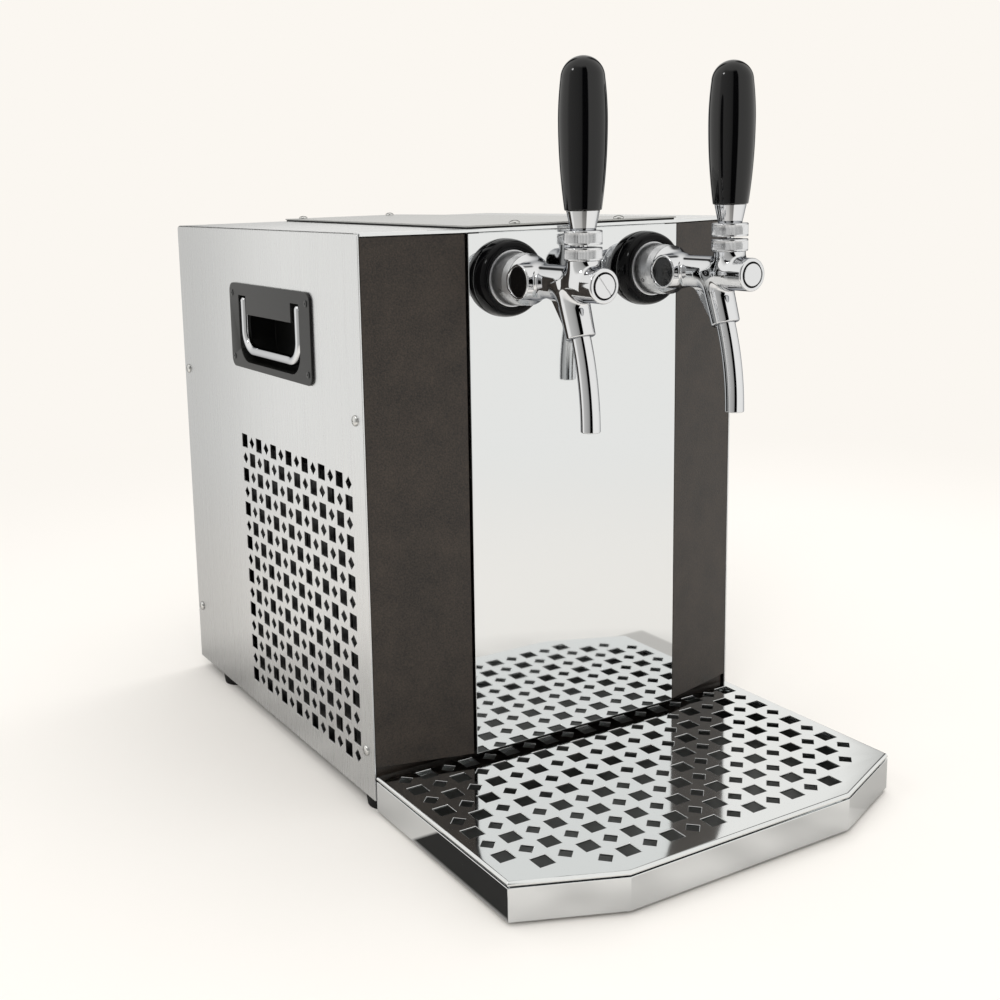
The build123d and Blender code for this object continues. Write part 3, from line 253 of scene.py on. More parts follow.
finish = {
    # upright grain 0.9 mm wide, drawn coarser than the real 0.1 mm so that it shows
    "brushed_steel": brushedSteel(
        "brushedStainlessUpright",
        {
            "grain": (0.9, 0.9, 110),
            "streak": 9.0,
            "dark": "#DDDEDF",
            "light": "#E6E7E7",
            "rough": (0.25, 0.31),
            "bump": 0.03,
            # low and rear: how far the painted shade darkens the colour at the floor and at the rear
            "low": 0.92,
            "rear": 0.7,
        },
    ),
    # the lid: the same stainless with its grain running crosswise; its colour, darker than the side sheets', is
    # painted shade
    "lid_steel": brushedSteel(
        "brushedStainlessLidPaintedShade",
        {
            "grain": (110, 0.9, 0.9),
            "streak": 9.0,
            "dark": "#A6A6A4",
            "light": "#B6B6B4",
            "rough": (0.2, 0.28),
            "bump": 0.04,
            # low and rear: how far the painted shade darkens the colour at the floor and at the rear
            "low": 1.0,
            "rear": 0.86,
        },
    ),
    "mirror_steel": polishedMetal(
        "mirrorPolishedStainless",
        {
            "colour": "#ECEEEF",
            "haze": 30,
            "rough": (0.02, 0.05),
            "bump": 0.003,
            # inside: the colour of the pan's inner faces, darkened as painted shade
            "inside": "#8C8D8C",
            "dull_and_painted_shade": 0.4,
        },
    ),
    # the grate's top sheet is buffed less than the front panel
    "grate_steel": polishedMetal(
        "buffedStainlessGrate", {"colour": "#ECEEEE", "haze": 12, "rough": (0.05, 0.10), "bump": 0.004}
    ),
    "chrome": polishedMetal(
        "polishedChromePlate",
        {"colour": "#EAEBED", "glance": "#7C7E83", "haze": 16, "rough": (0.02, 0.05), "bump": 0.0},
    ),
    # blasted with 0.25 mm grit
    "satin_chrome": polishedMetal(
        "blastedChromePlate",
        {"colour": "#D9DADC", "haze": 0.8, "rough": (0.26, 0.4), "bump": 0.45, "depth": 0.25},
    ),
    "screw_steel": polishedMetal(
        "tumbledStainlessScrews",
        {"colour": "#E4E4E2", "glance": "#2E2E2E", "haze": 2.5, "rough": (0.08, 0.16), "bump": 0.05},
    ),
    # powder coat with a fine leathery wrinkle, 1.1 mm from ridge to ridge
    "brown_coat": grainedCoat(
        "darkBrownPowderCoat",
        {
            "dark": "#191512",
            "light": "#3D342C",
            "rough": (0.4, 0.6),
            "grit": 1.3,
            "cloud": 22,
            "speckle": 0.7,
            "bump": 0.5,
            "depth": 0.3,
        },
    ),
    "black_coat": grainedCoat(
        "blackStovedEnamel",
        {"dark": "#0A0A0A", "light": "#111111", "rough": (0.5, 0.65), "grit": 0.5, "bump": 0.08},
    ),
    "black_gloss": grainedCoat(
        "glossBlackPhenolic",
        {"dark": "#040405", "light": "#070708", "rough": (0.03, 0.06), "grit": 3.0, "bump": 0.0},
    ),
    "rosette_black": grainedCoat(
        "blackMouldedRosette",
        {"dark": "#040405", "light": "#070708", "rough": (0.06, 0.1), "grit": 2.0, "bump": 0.0, "sheen": 0.14},
    ),
    "charcoal_plastic": grainedCoat(
        "charcoalMouldedAbs",
        {"dark": "#111111", "light": "#181817", "rough": (0.32, 0.42), "grit": 0.6, "bump": 0.08, "sheen": 0.4},
    ),
    "black_plastic": grainedCoat(
        "blackMouldedAbs",
        {"dark": "#0C0C0D", "light": "#131314", "rough": (0.42, 0.55), "grit": 0.6, "bump": 0.08},
    ),
    "rubber": grainedCoat(
        "blackNitrileRubber",
        {"dark": "#0B0B0B", "light": "#131312", "rough": (0.6, 0.75), "grit": 0.8, "bump": 0.15, "sheen": 0.3},
    ),
    "black_screw": grainedCoat(
        "blackOxidedScrews",
        {"dark": "#0B0B0C", "light": "#141415", "rough": (0.25, 0.35), "grit": 0.5, "bump": 0.03},
    ),
    # spangle of the zinc, 8 mm across
    "galvanised": grainedCoat(
        "zincCoatedSheet",
        {
            "dark": "#84888A",
            "light": "#A4A8A9",
            "rough": (0.38, 0.55),
            "grit": 8.0,
            "speckle": 0.6,
            "bump": 0.03,
            "metallic": 1.0,
        },
    ),
    "foam": grainedCoat(
        "polyurethaneFoamJacket",
        {"dark": "#6F6A5A", "light": "#7E7968", "rough": (0.75, 0.9), "grit": 1.2, "bump": 0.3},
    ),
    "tube": grainedCoat(
        "milkyPolyethyleneTube",
        {"dark": "#C4C6C2", "light": "#D5D6D2", "rough": (0.3, 0.4), "grit": 2.0, "bump": 0.02},
    ),
    "brass": polishedMetal(
        "turnedBrass", {"colour": "#D8B36A", "haze": 3.3, "rough": (0.15, 0.3), "bump": 0.03}
    ),
}
for name, node in nodes.items():
    node.data.materials.clear()
    node.data.materials.append(finish[slotOf[name]])
print("materials made:", len(finish))


# ---- mesh helpers
def makePiece(name, parts, node, replaced=None, slot=None, paint=None):
    # one mesh from parts of (points in millimetres, groups of faces, normals), each turned the right way out,
    # that rides where its CAD node rides
    points, faces, normals = [], [], []
    start = 0
    for spots, groups, slopes in parts:
        groups = [np.asarray(group) for group in groups if len(group)]
        corners = np.concatenate(
            [spots[group[:, [0, i, i + 1]]] for group in groups for i in range(1, group.shape[1] - 1)]
        )
        across = np.cross(corners[:, 1] - corners[:, 0], corners[:, 2] - corners[:, 0])
        centred = corners - spots.mean(0)
        if np.einsum("ij,ij->i", centred[:, 0], np.cross(centred[:, 1], centred[:, 2])).sum() < 0:
            groups = [group[:, ::-1] for group in groups]
            across = -across
        if slopes is not None:
            first = np.concatenate([group[:, [0]] for group in groups for _ in range(1, group.shape[1] - 1)])
            if np.einsum("ij,ij->i", across, slopes[first[:, 0]]).sum() < 0:
                slopes = -slopes
        points.append(spots)
        normals.append(slopes)
        faces += [face for group in groups for face in (group + start).tolist()]
        start += len(spots)
    mesh = bpy.data.meshes.new(name)
    mesh.from_pydata((np.concatenate(points) * mm).tolist(), [], faces)
    mesh.shade_smooth()
    if all(slopes is not None for slopes in normals):
        mesh.normals_split_custom_set_from_vertices(np.concatenate(normals).tolist())
    mesh.materials.append(finish[paint or slot or slotOf[node]])
    piece = bpy.data.objects.new(name, mesh)
    scene.collection.objects.link(piece)
    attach(piece, bodyOf[node])
    if replaced != []:
        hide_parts(*(replaced or [node]))
    return piece


def rounded(corners, steps=5):
    # each corner (x, y, radius) becomes an arc that touches both of its neighbouring lines
    line = []
    for before, (x, y, radius), after in zip([corners[-1]] + corners[:-1], corners, corners[1:] + corners[:1]):
        if not radius:
            line.append((x, y))
            continue
        back = np.array([before[0] - x, before[1] - y], float)
        on = np.array([after[0] - x, after[1] - y], float)
        back, on = back / np.linalg.norm(back), on / np.linalg.norm(on)
        half = math.acos(max(-1.0, min(1.0, float(back @ on)))) / 2
        middle = (back + on) / np.linalg.norm(back + on)
        centre = np.array([x, y]) + middle * radius / math.sin(half)
        start = np.array([x, y]) + back * radius / math.tan(half) - centre
        sweep = math.pi - 2 * half
        inward = (x, y) - centre
        turn = math.copysign(sweep, start[0] * inward[1] - start[1] * inward[0])
        for a in np.linspace(0, turn, steps + 1):
            line.append(
                (
                    centre[0] + start[0] * math.cos(a) - start[1] * math.sin(a),
                    centre[1] + start[0] * math.sin(a) + start[1] * math.cos(a),
                )
            )
    return line


def arcLine(centre, radius, first, last, steps):
    # points of a circle or of an ellipse (two radii), from angle first to last off the profile's radius axis
    wide, tall = radius if isinstance(radius, tuple) else (radius, radius)
    angles = np.radians(np.linspace(first, last, steps + 1))
    return [(centre[0] + wide * math.cos(a), centre[1] + tall * math.sin(a)) for a in angles]


def profileNormals(line, closed):
    # normal at each profile point: the two neighbouring segments' normals, weighted by length squared
    ahead = np.roll(line, -1, 0) - line
    if not closed:
        ahead[-1] = ahead[-2]
    behind = np.roll(ahead, 1, 0)
    if not closed:
        behind[0] = ahead[0]
    weigh = lambda d: np.stack([d[:, 1], -d[:, 0]], -1) * np.linalg.norm(d, axis=1)[:, None]
    total = weigh(ahead) + weigh(behind)
    return total / np.maximum(np.linalg.norm(total, axis=1), 1e-12)[:, None]


def straightAxis(origin, direction):
    # place at a height: origin + height * direction, with two level directions square to it
    third = np.array(direction, float) / np.linalg.norm(direction)
    first = np.cross((0, 1, 0) if abs(third[1]) < 0.9 else (1, 0, 0), third)
    first /= np.linalg.norm(first)
    second = np.cross(third, first)

    def at(height):
        row = np.ones((len(height), 1))
        return np.array(origin, float) + height[:, None] * third, row * first, row * second, row * third

    return at


def bentAxis(path, across):
    # place at a height: that far along the path, measured in length; across is square to the path's plane
    path = np.array(path, float)
    run = np.concatenate([[0], np.cumsum(np.linalg.norm(np.diff(path, axis=0), axis=1))])
    slope = np.gradient(path, run, axis=0)

    def at(height):
        spot = np.stack([np.interp(height, run, path[:, k]) for k in range(3)], -1)
        third = np.stack([np.interp(height, run, slope[:, k]) for k in range(3)], -1)
        third /= np.linalg.norm(third, axis=1)[:, None]
        first = np.ones((len(height), 1)) * np.array(across, float)
        return spot, first, np.cross(third, first), third

    return at, run[-1]


def turned(profile, axis, segments=96, ripple=None):
    # profile points (radius, height) carried round an axis: place(height) + radius * (cos a, sin a)
    line = np.array(profile, float)
    closed = line[0][0] > 1e-6 or line[-1][0] > 1e-6
    flat = profileNormals(line, closed)
    angle = np.linspace(0, 2 * math.pi, segments, endpoint=False)
    spot, first, second, third = (part[:, None, :] for part in axis(line[:, 1]))
    out = np.cos(angle)[None, :, None] * first + np.sin(angle)[None, :, None] * second
    radius = np.repeat(line[:, :1], segments, 1)
    if ripple is not None:
        radius = radius - ripple(line[:, 1][:, None], angle[None, :])
    points = spot + radius[..., None] * out
    normals = flat[:, 0][:, None, None] * out + flat[:, 1][:, None, None] * third
    rows = len(line)
    i = np.arange(rows if closed else rows - 1)[:, None]
    j = np.arange(segments)[None, :]
    quads = np.stack(
        [
            i * segments + j,
            i * segments + (j + 1) % segments,
            (i + 1) % rows * segments + (j + 1) % segments,
            (i + 1) % rows * segments + j,
        ],
        -1,
    ).reshape(-1, 4)
    points, normals = points.reshape(-1, 3), normals.reshape(-1, 3)
    if closed:
        return points, [quads], None if ripple else normals
    # both ends meet the axis, so each end row becomes one point
    quads = quads[segments:-segments]
    poles = points[[0, (rows - 1) * segments]]
    tips = np.array([third[end, 0] * np.sign(flat[end, 1]) for end in (0, rows - 1)])
    around = np.arange(segments)
    low = np.stack([around, (around + 1) % segments], -1)
    high = low + (rows - 3) * segments
    last = (rows - 2) * segments
    triangles = np.concatenate(
        [
            np.column_stack([np.full(segments, last), low[:, 1], low[:, 0]]),
            np.column_stack([np.full(segments, last + 1), high[:, 0], high[:, 1]]),
        ]
    )
    points = np.concatenate([points[segments:-segments], poles])
    normals = np.concatenate([normals[segments:-segments], tips])
    return points, [quads - segments, triangles], None if ripple else normals


def sheetCopy(node, edge, segments=2, inside=None, paint=None):
    # a copy of a CAD solid with its triangles merged into flat faces and every sharp edge rounded
    mesh = nodes[node].data.copy()
    mesh.name = node + "_finished"
    piece = bpy.data.objects.new(mesh.name, mesh)
    scene.collection.objects.link(piece)
    work = bmesh.new()
    work.from_mesh(mesh)
    bmesh.ops.remove_doubles(work, verts=work.verts, dist=0.000005)
    bmesh.ops.dissolve_limit(work, angle_limit=math.radians(1), verts=work.verts, edges=work.edges)
    work.to_mesh(mesh)
    work.free()
    if mesh.has_custom_normals:
        mesh.normals_split_custom_set([(0, 0, 0)] * len(mesh.loops))
    mesh.shade_smooth()
    mesh.set_sharp_from_angle(angle=math.radians(28))
    if paint:
        mesh.materials.clear()
        mesh.materials.append(finish[paint])
    if inside:
        # marks the pan's inner faces, which get rougher metal and painted shade
        mark = mesh.attributes.new("unbuffed_and_painted_shade", "FLOAT", "FACE")
        mark.data.foreach_set("value", [inside(face.center / mm, face.normal) for face in mesh.polygons])
    bevel = piece.modifiers.new("roundedEdges", "BEVEL")
    bevel.width = edge * mm
    bevel.segments = segments
    bevel.limit_method = "ANGLE"
    bevel.angle_limit = math.radians(28)
    bevel.use_clamp_overlap = False
    bevel.harden_normals = True
    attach(piece, bodyOf[node])
    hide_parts(node)
    return piece


def roundUnion(a, b, width):
    # smooth minimum of two fields: the smaller, less a parabola where they are within width of each other
    near = np.clip(width - np.abs(a - b), 0, None) / width
    return np.minimum(a, b) - near * near * width / 4


def roundCut(a, b, width):
    # smooth maximum: the part common to both, with its edge rounded
    return -roundUnion(-a, -b, width)


def castSurface(field, low, high, step):
    # one point in each grid cell that the surface field = 0 passes through, then moved onto the surface
    axes = [np.arange(a, b + step, step) for a, b in zip(low, high)]
    value = field(*np.meshgrid(*axes, indexing="ij"))
    inside = value < 0
    size = value.shape
    total = np.zeros([n - 1 for n in size] + [3])
    count = np.zeros([n - 1 for n in size])
    quads = []
    crossings = []
    for axis in range(3):
        lower = tuple(slice(0, -1) if k == axis else slice(None) for k in range(3))
        upper = tuple(slice(1, None) if k == axis else slice(None) for k in range(3))
        change = inside[lower] != inside[upper]
        share = np.where(change, value[lower] / np.where(change, value[lower] - value[upper], 1), 0)
        spot = np.stack(np.meshgrid(*[np.arange(n, dtype=float) for n in change.shape], indexing="ij"), -1)
        spot[..., axis] += share
        others = [k for k in range(3) if k != axis]
        for da in (0, 1):
            for db in (0, 1):
                take = [slice(None)] * 3
                take[others[0]] = slice(da, size[others[0]] - 1 + da)
                take[others[1]] = slice(db, size[others[1]] - 1 + db)
                take = tuple(take)
                total += np.where(change[take][..., None], spot[take], 0)
                count += change[take]
        crossings.append((axis, others, change, inside[lower]))
    used = count > 0
    number = np.full(used.shape, -1)
    number[used] = np.arange(used.sum())
    points = np.array([a[0] for a in axes]) + total[used] / count[used][:, None] * step
    for axis, others, change, startsInside in crossings:
        at = np.argwhere(change)
        at = at[(at[:, others[0]] > 0) & (at[:, others[1]] > 0)]
        at = at[(at[:, others[0]] < size[others[0]] - 1) & (at[:, others[1]] < size[others[1]] - 1)]
        ring = []
        for da, db in ((1, 1), (0, 1), (0, 0), (1, 0)):
            cell = at.copy()
            cell[:, others[0]] -= da
            cell[:, others[1]] -= db
            ring.append(number[tuple(cell.T)])
        ring = np.stack(ring, -1)
        flip = startsInside[tuple(at.T)] == (axis == 1)
        ring[flip] = ring[flip][:, ::-1]
        quads.append(ring)
    for _ in range(5):
        slope = gradient(field, points)
        move = field(*points.T)[:, None] * slope / np.maximum((slope**2).sum(1), 1e-6)[:, None]
        points = points - np.clip(move, -step / 2, step / 2)
    slope = gradient(field, points)
    return points, np.concatenate(quads), slope / np.linalg.norm(slope, axis=1)[:, None]


def gradient(field, points, reach=0.05):
    # central differences of the field along the three axes
    steps = np.eye(3) * reach
    return np.stack([(field(*(points + s).T) - field(*(points - s).T)) / (2 * reach) for s in steps], -1)


# ---- sheet-metal body, handle plates and the rest that keeps its CAD shape; edge radii in millimetres
sheets = {
    "left_side_panel": 0.35,
    "right_side_panel": 0.35,
    "top_lid": 0.4,
    "lid_gasket": 0.3,
    "front_rim": 0.5,
    "rear_panel": 0.35,
    "base_pan": 0.35,
    "left_front_panel": 0.4,
    "right_front_panel": 0.4,
    "mirror_panel": 0.4,
    "front_sill": 0.4,
    "left_handle_plate": 0.5,
    "right_handle_plate": 0.5,
    "rubber_feet": 0.8,
    "tray_pads": 0.6,
    "compressor": 2.0,
    "condenser": 0.4,
    "fan_shroud": 0.6,
    "fan_rotor": 0.5,
    "cold_block": 1.5,
    "power_inlet": 0.5,
    "power_switch": 0.5,
    "thermostat_knob": 0.6,
    "left_beer_inlet": 0.4,
    "right_beer_inlet": 0.4,
    "left_end_cap": 0.15,
    "shank_nuts": 0.5,
}
for node, edge in sheets.items():
    sheetCopy(node, edge)

tray = {"edge": 0.5, "holes": 0.4, "floor": 4.6, "rim": 27.0, "wall": 1.5}


def isInner(centre, normal):
    # a face of the pan's inside: its floor, or a wall that looks towards the pan's middle
    if abs(normal.z) > 0.5:
        return float(normal.z > 0 and centre.z < tray["rim"])
    return float(normal.x * centre.x + normal.y * (centre.y + 200) < 0)


sheetCopy("drip_tray", tray["edge"], inside=isInner)
sheetCopy("drip_grate", tray["holes"], paint="grate_steel")
print("sheets rounded:", len(sheets) + 2)

# ---- domed screws
screws = {
    "half": 181.0,
    "sideSpots": ((-78.75, 311.0), (-78.75, 49.0), (279.25, 311.0), (279.25, 67.0)),  # y, z
    "lidTop": 452.4,
    "lidSpots": ((-50.0, -99.75), (50.0, -99.75), (-50.0, 281.25), (50.0, 281.25)),  # x, y
    "head": 4.2,
    "rise": 2.4,
    "shank": 1.9,
    "length": 6.0,
    "recess": 1.3,
    "plateHalf": 183.0,
    "plateSpots": ((-2.75, 336.95), (-2.75, 393.45), (150.65, 336.95), (150.65, 393.45)),
    "plateHead": 2.8,
    "plateRise": 0.7,
}


def screwProfile(head, rise, shank, length, recess):
    # shank, flat seat, then an elliptical dome whose middle dips into a small driver recess
    dome = arcLine((0, 0.25), (head, rise - 0.25), 0, 78, 10)
    dip = [(recess, rise * 0.93), (recess * 0.8, rise * 0.55), (0, rise * 0.5)]
    return [(0, -length), (shank, -length), (shank, 0), (head, 0)] + dome + dip


caseScrew = screwProfile(screws["head"], screws["rise"], screws["shank"], screws["length"], screws["recess"])
makePiece(
    "case_screws_domed",
    [
        turned(caseScrew, straightAxis((side * screws["half"], y, z), (side, 0, 0)), 40)
        for side in (-1, 1)
        for y, z in screws["sideSpots"]
    ]
    + [turned(caseScrew, straightAxis((x, y, screws["lidTop"]), (0, 0, 1)), 40) for x, y in screws["lidSpots"]],
    "case_screws",
)
plateScrew = screwProfile(screws["plateHead"], screws["plateRise"], 1.0, 0.3, 1.0)
makePiece(
    "handle_screws_domed",
    [
        turned(plateScrew, straightAxis((side * screws["plateHalf"], y, z), (side, 0, 0)), 32)
        for side in (-1, 1)
        for y, z in screws["plateSpots"]
    ],
    "handle_screws",
)
print("screws made: 20")

# ---- carrying bails: a bent rod with a pin at the head of each leg
bail = {
    "x": 179.0,
    "y": 73.95,
    "legY": 56.0,
    "pivotZ": 387.0,
    "gripZ": 344.0,
    "corner": 18.0,
    "rod": 4.25,
    "pin": 3.0,
    "pinEnd": 64.5,
}


def bendPath(corners, radius, steps=24):
    # straight runs joined by arcs that touch them, in one plane given by two coordinates
    line = rounded([(a, b, radius if 0 < k < len(corners) - 1 else 0) for k, (a, b) in enumerate(corners)], steps)
    dense = []
    for (a, b), (c, d) in zip(line[:-1], line[1:]):
        count = max(1, int(math.hypot(c - a, d - b) / 3))
        dense += [(a + (c - a) * k / count, b + (d - b) * k / count) for k in range(count)]
    return dense + [line[-1]]


def buildBail(side):
    x = bail["x"] * (1 if side == "right" else -1)
    tall = bail["rod"]
    leg = bail["legY"]
    flat = bendPath(
        [
            (bail["y"] - leg, bail["pivotZ"] + tall + 1),
            (bail["y"] - leg, bail["gripZ"]),
            (bail["y"] + leg, bail["gripZ"]),
            (bail["y"] + leg, bail["pivotZ"] + tall + 1),
        ],
        bail["corner"],
    )
    axis, length = bentAxis([(x, y, z) for y, z in flat], (1, 0, 0))
    start, end = tall + 1, length - tall - 1
    profile = (
        arcLine((0, start), tall, -90, 0, 8)
        + [(tall, h) for h in np.linspace(start, end, 110)[1:-1]]
        + arcLine((0, end), tall, 0, 90, 8)
    )
    pin = rounded([(0, -1.0, 0), (bail["pin"], -1.0, 0.2), (bail["pin"], 8.4, 0.4), (0, 8.4, 0)], 3)
    parts = [turned(profile, axis, 40)]
    for way in (-1, 1):
        root = (x, bail["y"] + way * (leg + 0.1), bail["pivotZ"])
        parts.append(turned(pin, straightAxis(root, (0, way, 0)), 32))
    makePiece(side + "_bail_rod", parts, side + "_bail")


for side in ("left", "right"):
    buildBail(side)
print("bails bent")

# ---- taps; u is the distance forwards from the mirror panel
tapPlace = {"left": -67.0, "right": 67.0, "mirrorY": -111.75, "height": 412.5}
tapBody = {
    "start": 30.0,
    "end": 120.0,
    "barrel": 12.2,
    "shoulder": 19.0,
    "shoulderEnd": 31.8,
    "hornEnd": 56.0,
    "bossU": 43.0,
    "boss": 12.9,
    "bossReach": 18.6,
    "plugHole": 10.95,
    "plugDepth": 7.5,
    "leverU": 96.0,
    "pivotRise": 18.5,
    "neck": 11.5,
    "neckTop": 16.5,
    "branchU": 80.5,
    "branchLean": 18.7,
    "branchLength": 39.6,
    "branchTop": 11.6,
    "branchEnd": 10.5,
    "webHalf": 2.5,
    "webU": 58.5,
    "spoutHole": 7.0,
    "spoutDepth": 10.3,
    "spoutBore": 5.6,
    "bore": 9.4,
    "boreU": 58.0,
    "passage": 6.0,
    "seat": 8.3,
    "step": 0.55,
}


def tapField(x, u, z):
    # distance-like field of the casting: a flared barrel with boss, neck, branch and web run together
    t = tapBody
    around = np.hypot(x, z)
    flare = t["hornEnd"] - t["shoulderEnd"]
    rise = np.clip(t["hornEnd"] - u, 0, flare)
    curve = (flare**2 / (t["shoulder"] - t["barrel"]) + t["shoulder"] - t["barrel"]) / 2
    slope = rise / np.sqrt(curve**2 - rise**2)
    horn = (around - (t["barrel"] + curve - np.sqrt(curve**2 - rise**2))) / np.sqrt(1 + slope**2)
    solid = roundCut(roundCut(horn, u - t["end"], 1.7), t["start"] - u, 1.2)
    boss = roundCut(np.hypot(u - t["bossU"], z) - t["boss"], -x - t["bossReach"], 1.2)
    solid = roundUnion(solid, np.maximum(boss, x), 2.6)
    neck = np.maximum(np.hypot(x, u - t["leverU"]) - t["neck"], np.maximum(z - t["neckTop"], -z))
    solid = roundUnion(solid, neck, 5.0)
    lean = math.radians(t["branchLean"])
    along = (u - t["branchU"]) * math.sin(lean) - z * math.cos(lean)
    across = (u - t["branchU"]) * math.cos(lean) + z * math.sin(lean)
    off = np.hypot(x, across)
    taper = t["branchTop"] - (t["branchTop"] - t["branchEnd"]) * along / t["branchLength"]
    branch = roundCut(off - taper, along - t["branchLength"], 1.6)
    solid = roundUnion(solid, np.maximum(branch, -along), 5.0)
    # the web's sloping rear edge runs from under the barrel to the branch's rear rim
    topU, topZ = t["webU"], -t["bore"]
    endU = t["branchU"] + t["branchLength"] * math.sin(lean) - t["branchEnd"] * math.cos(lean)
    endZ = -t["branchLength"] * math.cos(lean) - t["branchEnd"] * math.sin(lean)
    length = math.hypot(endU - topU, endZ - topZ)
    rear = ((endZ - topZ) * (u - topU) - (endU - topU) * (z - topZ)) / length
    web = roundCut(np.abs(x) - t["webHalf"], rear, 1.0)
    web = roundCut(web, along - t["branchLength"], 1.0)
    web = np.maximum(np.maximum(web, z - topZ), across)
    solid = roundUnion(solid, web, 2.4)
    # hollows: piston bore, passage, lever well, ball seat, side-plug hole, spout socket and its bore
    bore = np.maximum(around - t["bore"], t["boreU"] - u)
    passage = np.maximum(around - t["passage"], u - t["boreU"] - 1)
    up = z - t["pivotRise"]
    post = np.hypot(x, u - t["leverU"])
    well = np.maximum(post - t["bore"], np.maximum(up + t["bore"], -z))
    ball = np.sqrt(post**2 + up**2) - t["seat"]
    plug = np.maximum(np.hypot(u - t["bossU"], z) - t["plugHole"], x + t["bossReach"] - t["plugDepth"])
    socket = np.maximum(off - t["spoutHole"], t["branchLength"] - t["spoutDepth"] - along)
    drain = np.maximum(off - t["spoutBore"], -along)
    hollow = np.minimum.reduce([bore, passage, well, ball, plug, socket, drain])
    return roundCut(solid, -hollow, 0.7)


castPoints, castQuads, castNormals = castSurface(tapField, (-20.5, 28.5, -43.5), (21, 122, 21), tapBody["step"])
print("tap casting:", len(castPoints), "points")

tapTrim = {
    "rosette": 29.6,
    "rosetteReach": 12.5,
    "rosetteCrest": 25.3,
    "rosetteLip": 3.6,
    "shankHole": 9.55,
    "flange": 21.4,
    "ring": 13.15,
    "teeth": 84,
    "toothDepth": 0.32,
    "setScrewAngle": 23.0,
    "setScrewU": 19.5,
    "coupling": 19.75,
}
spoutShape = {"outer": 6.95, "bore": 5.6, "insert": 10.0, "tipDrop": 102.6}


def knurl(low, high):
    # fine upright teeth between two heights, fading out at the plain bands next to the edges
    def ripple(height, angle):
        fade = np.clip((height - low) / 0.3, 0, 1) * np.clip((high - height) / 0.3, 0, 1)
        return tapTrim["toothDepth"] * fade * (0.5 - 0.5 * np.cos(angle * tapTrim["teeth"]))

    return ripple


def knurledRing(low, high, foot, inner):
    # outer wall with rounded edges and rows for the knurl, closed by the inner profile; foot is the
    # least radius of the lower face
    edge = tapTrim["ring"]
    wall = [(edge, h) for h in (low + 1.3, low + 1.6, high - 1.6, high - 1.3)]
    corner = min(0.8, (edge - foot) / 2)
    base = rounded([(foot, low, 0), (edge, low, corner), (edge, high, 0.8), (edge - 3, high, 0)], 4)
    return base[:6] + wall + base[6:] + inner


def buildSpout(side, x, y, z):
    # a drawn tube that leaves the branch straight and bends down to its tip on one arc
    t, s = tapBody, spoutShape
    lean = math.radians(t["branchLean"])
    endU = t["branchU"] + t["branchLength"] * math.sin(lean)
    endZ = -t["branchLength"] * math.cos(lean)
    curve = (s["tipDrop"] + endZ) / math.sin(lean)
    tipU = endU + curve * (1 - math.cos(lean))
    back = np.linspace(s["insert"], 0, 8)[:-1]
    path = [(endU - b * math.sin(lean), endZ + b * math.cos(lean)) for b in back]
    for a in np.linspace(lean, 0, 60):
        path.append((tipU - curve * (1 - math.cos(a)), -s["tipDrop"] + curve * math.sin(a)))
    axis, length = bentAxis([(x, y - u, z + h) for u, h in path], (1, 0, 0))
    down = [(s["outer"], h) for h in np.linspace(0.4, length - 0.7, 60)]
    up = [(s["bore"], h) for h in np.linspace(length - 0.5, 0, 50)]
    middle = (s["outer"] + s["bore"]) / 2
    lip = arcLine((middle, length - 0.67), ((s["outer"] - s["bore"]) / 2, 0.66), 0, 180, 8)
    makePiece(side + "_spout_tube", [turned([(s["bore"], 0.0)] + down + lip[1:-1] + up[:-1], axis, 72)], side + "_spout")


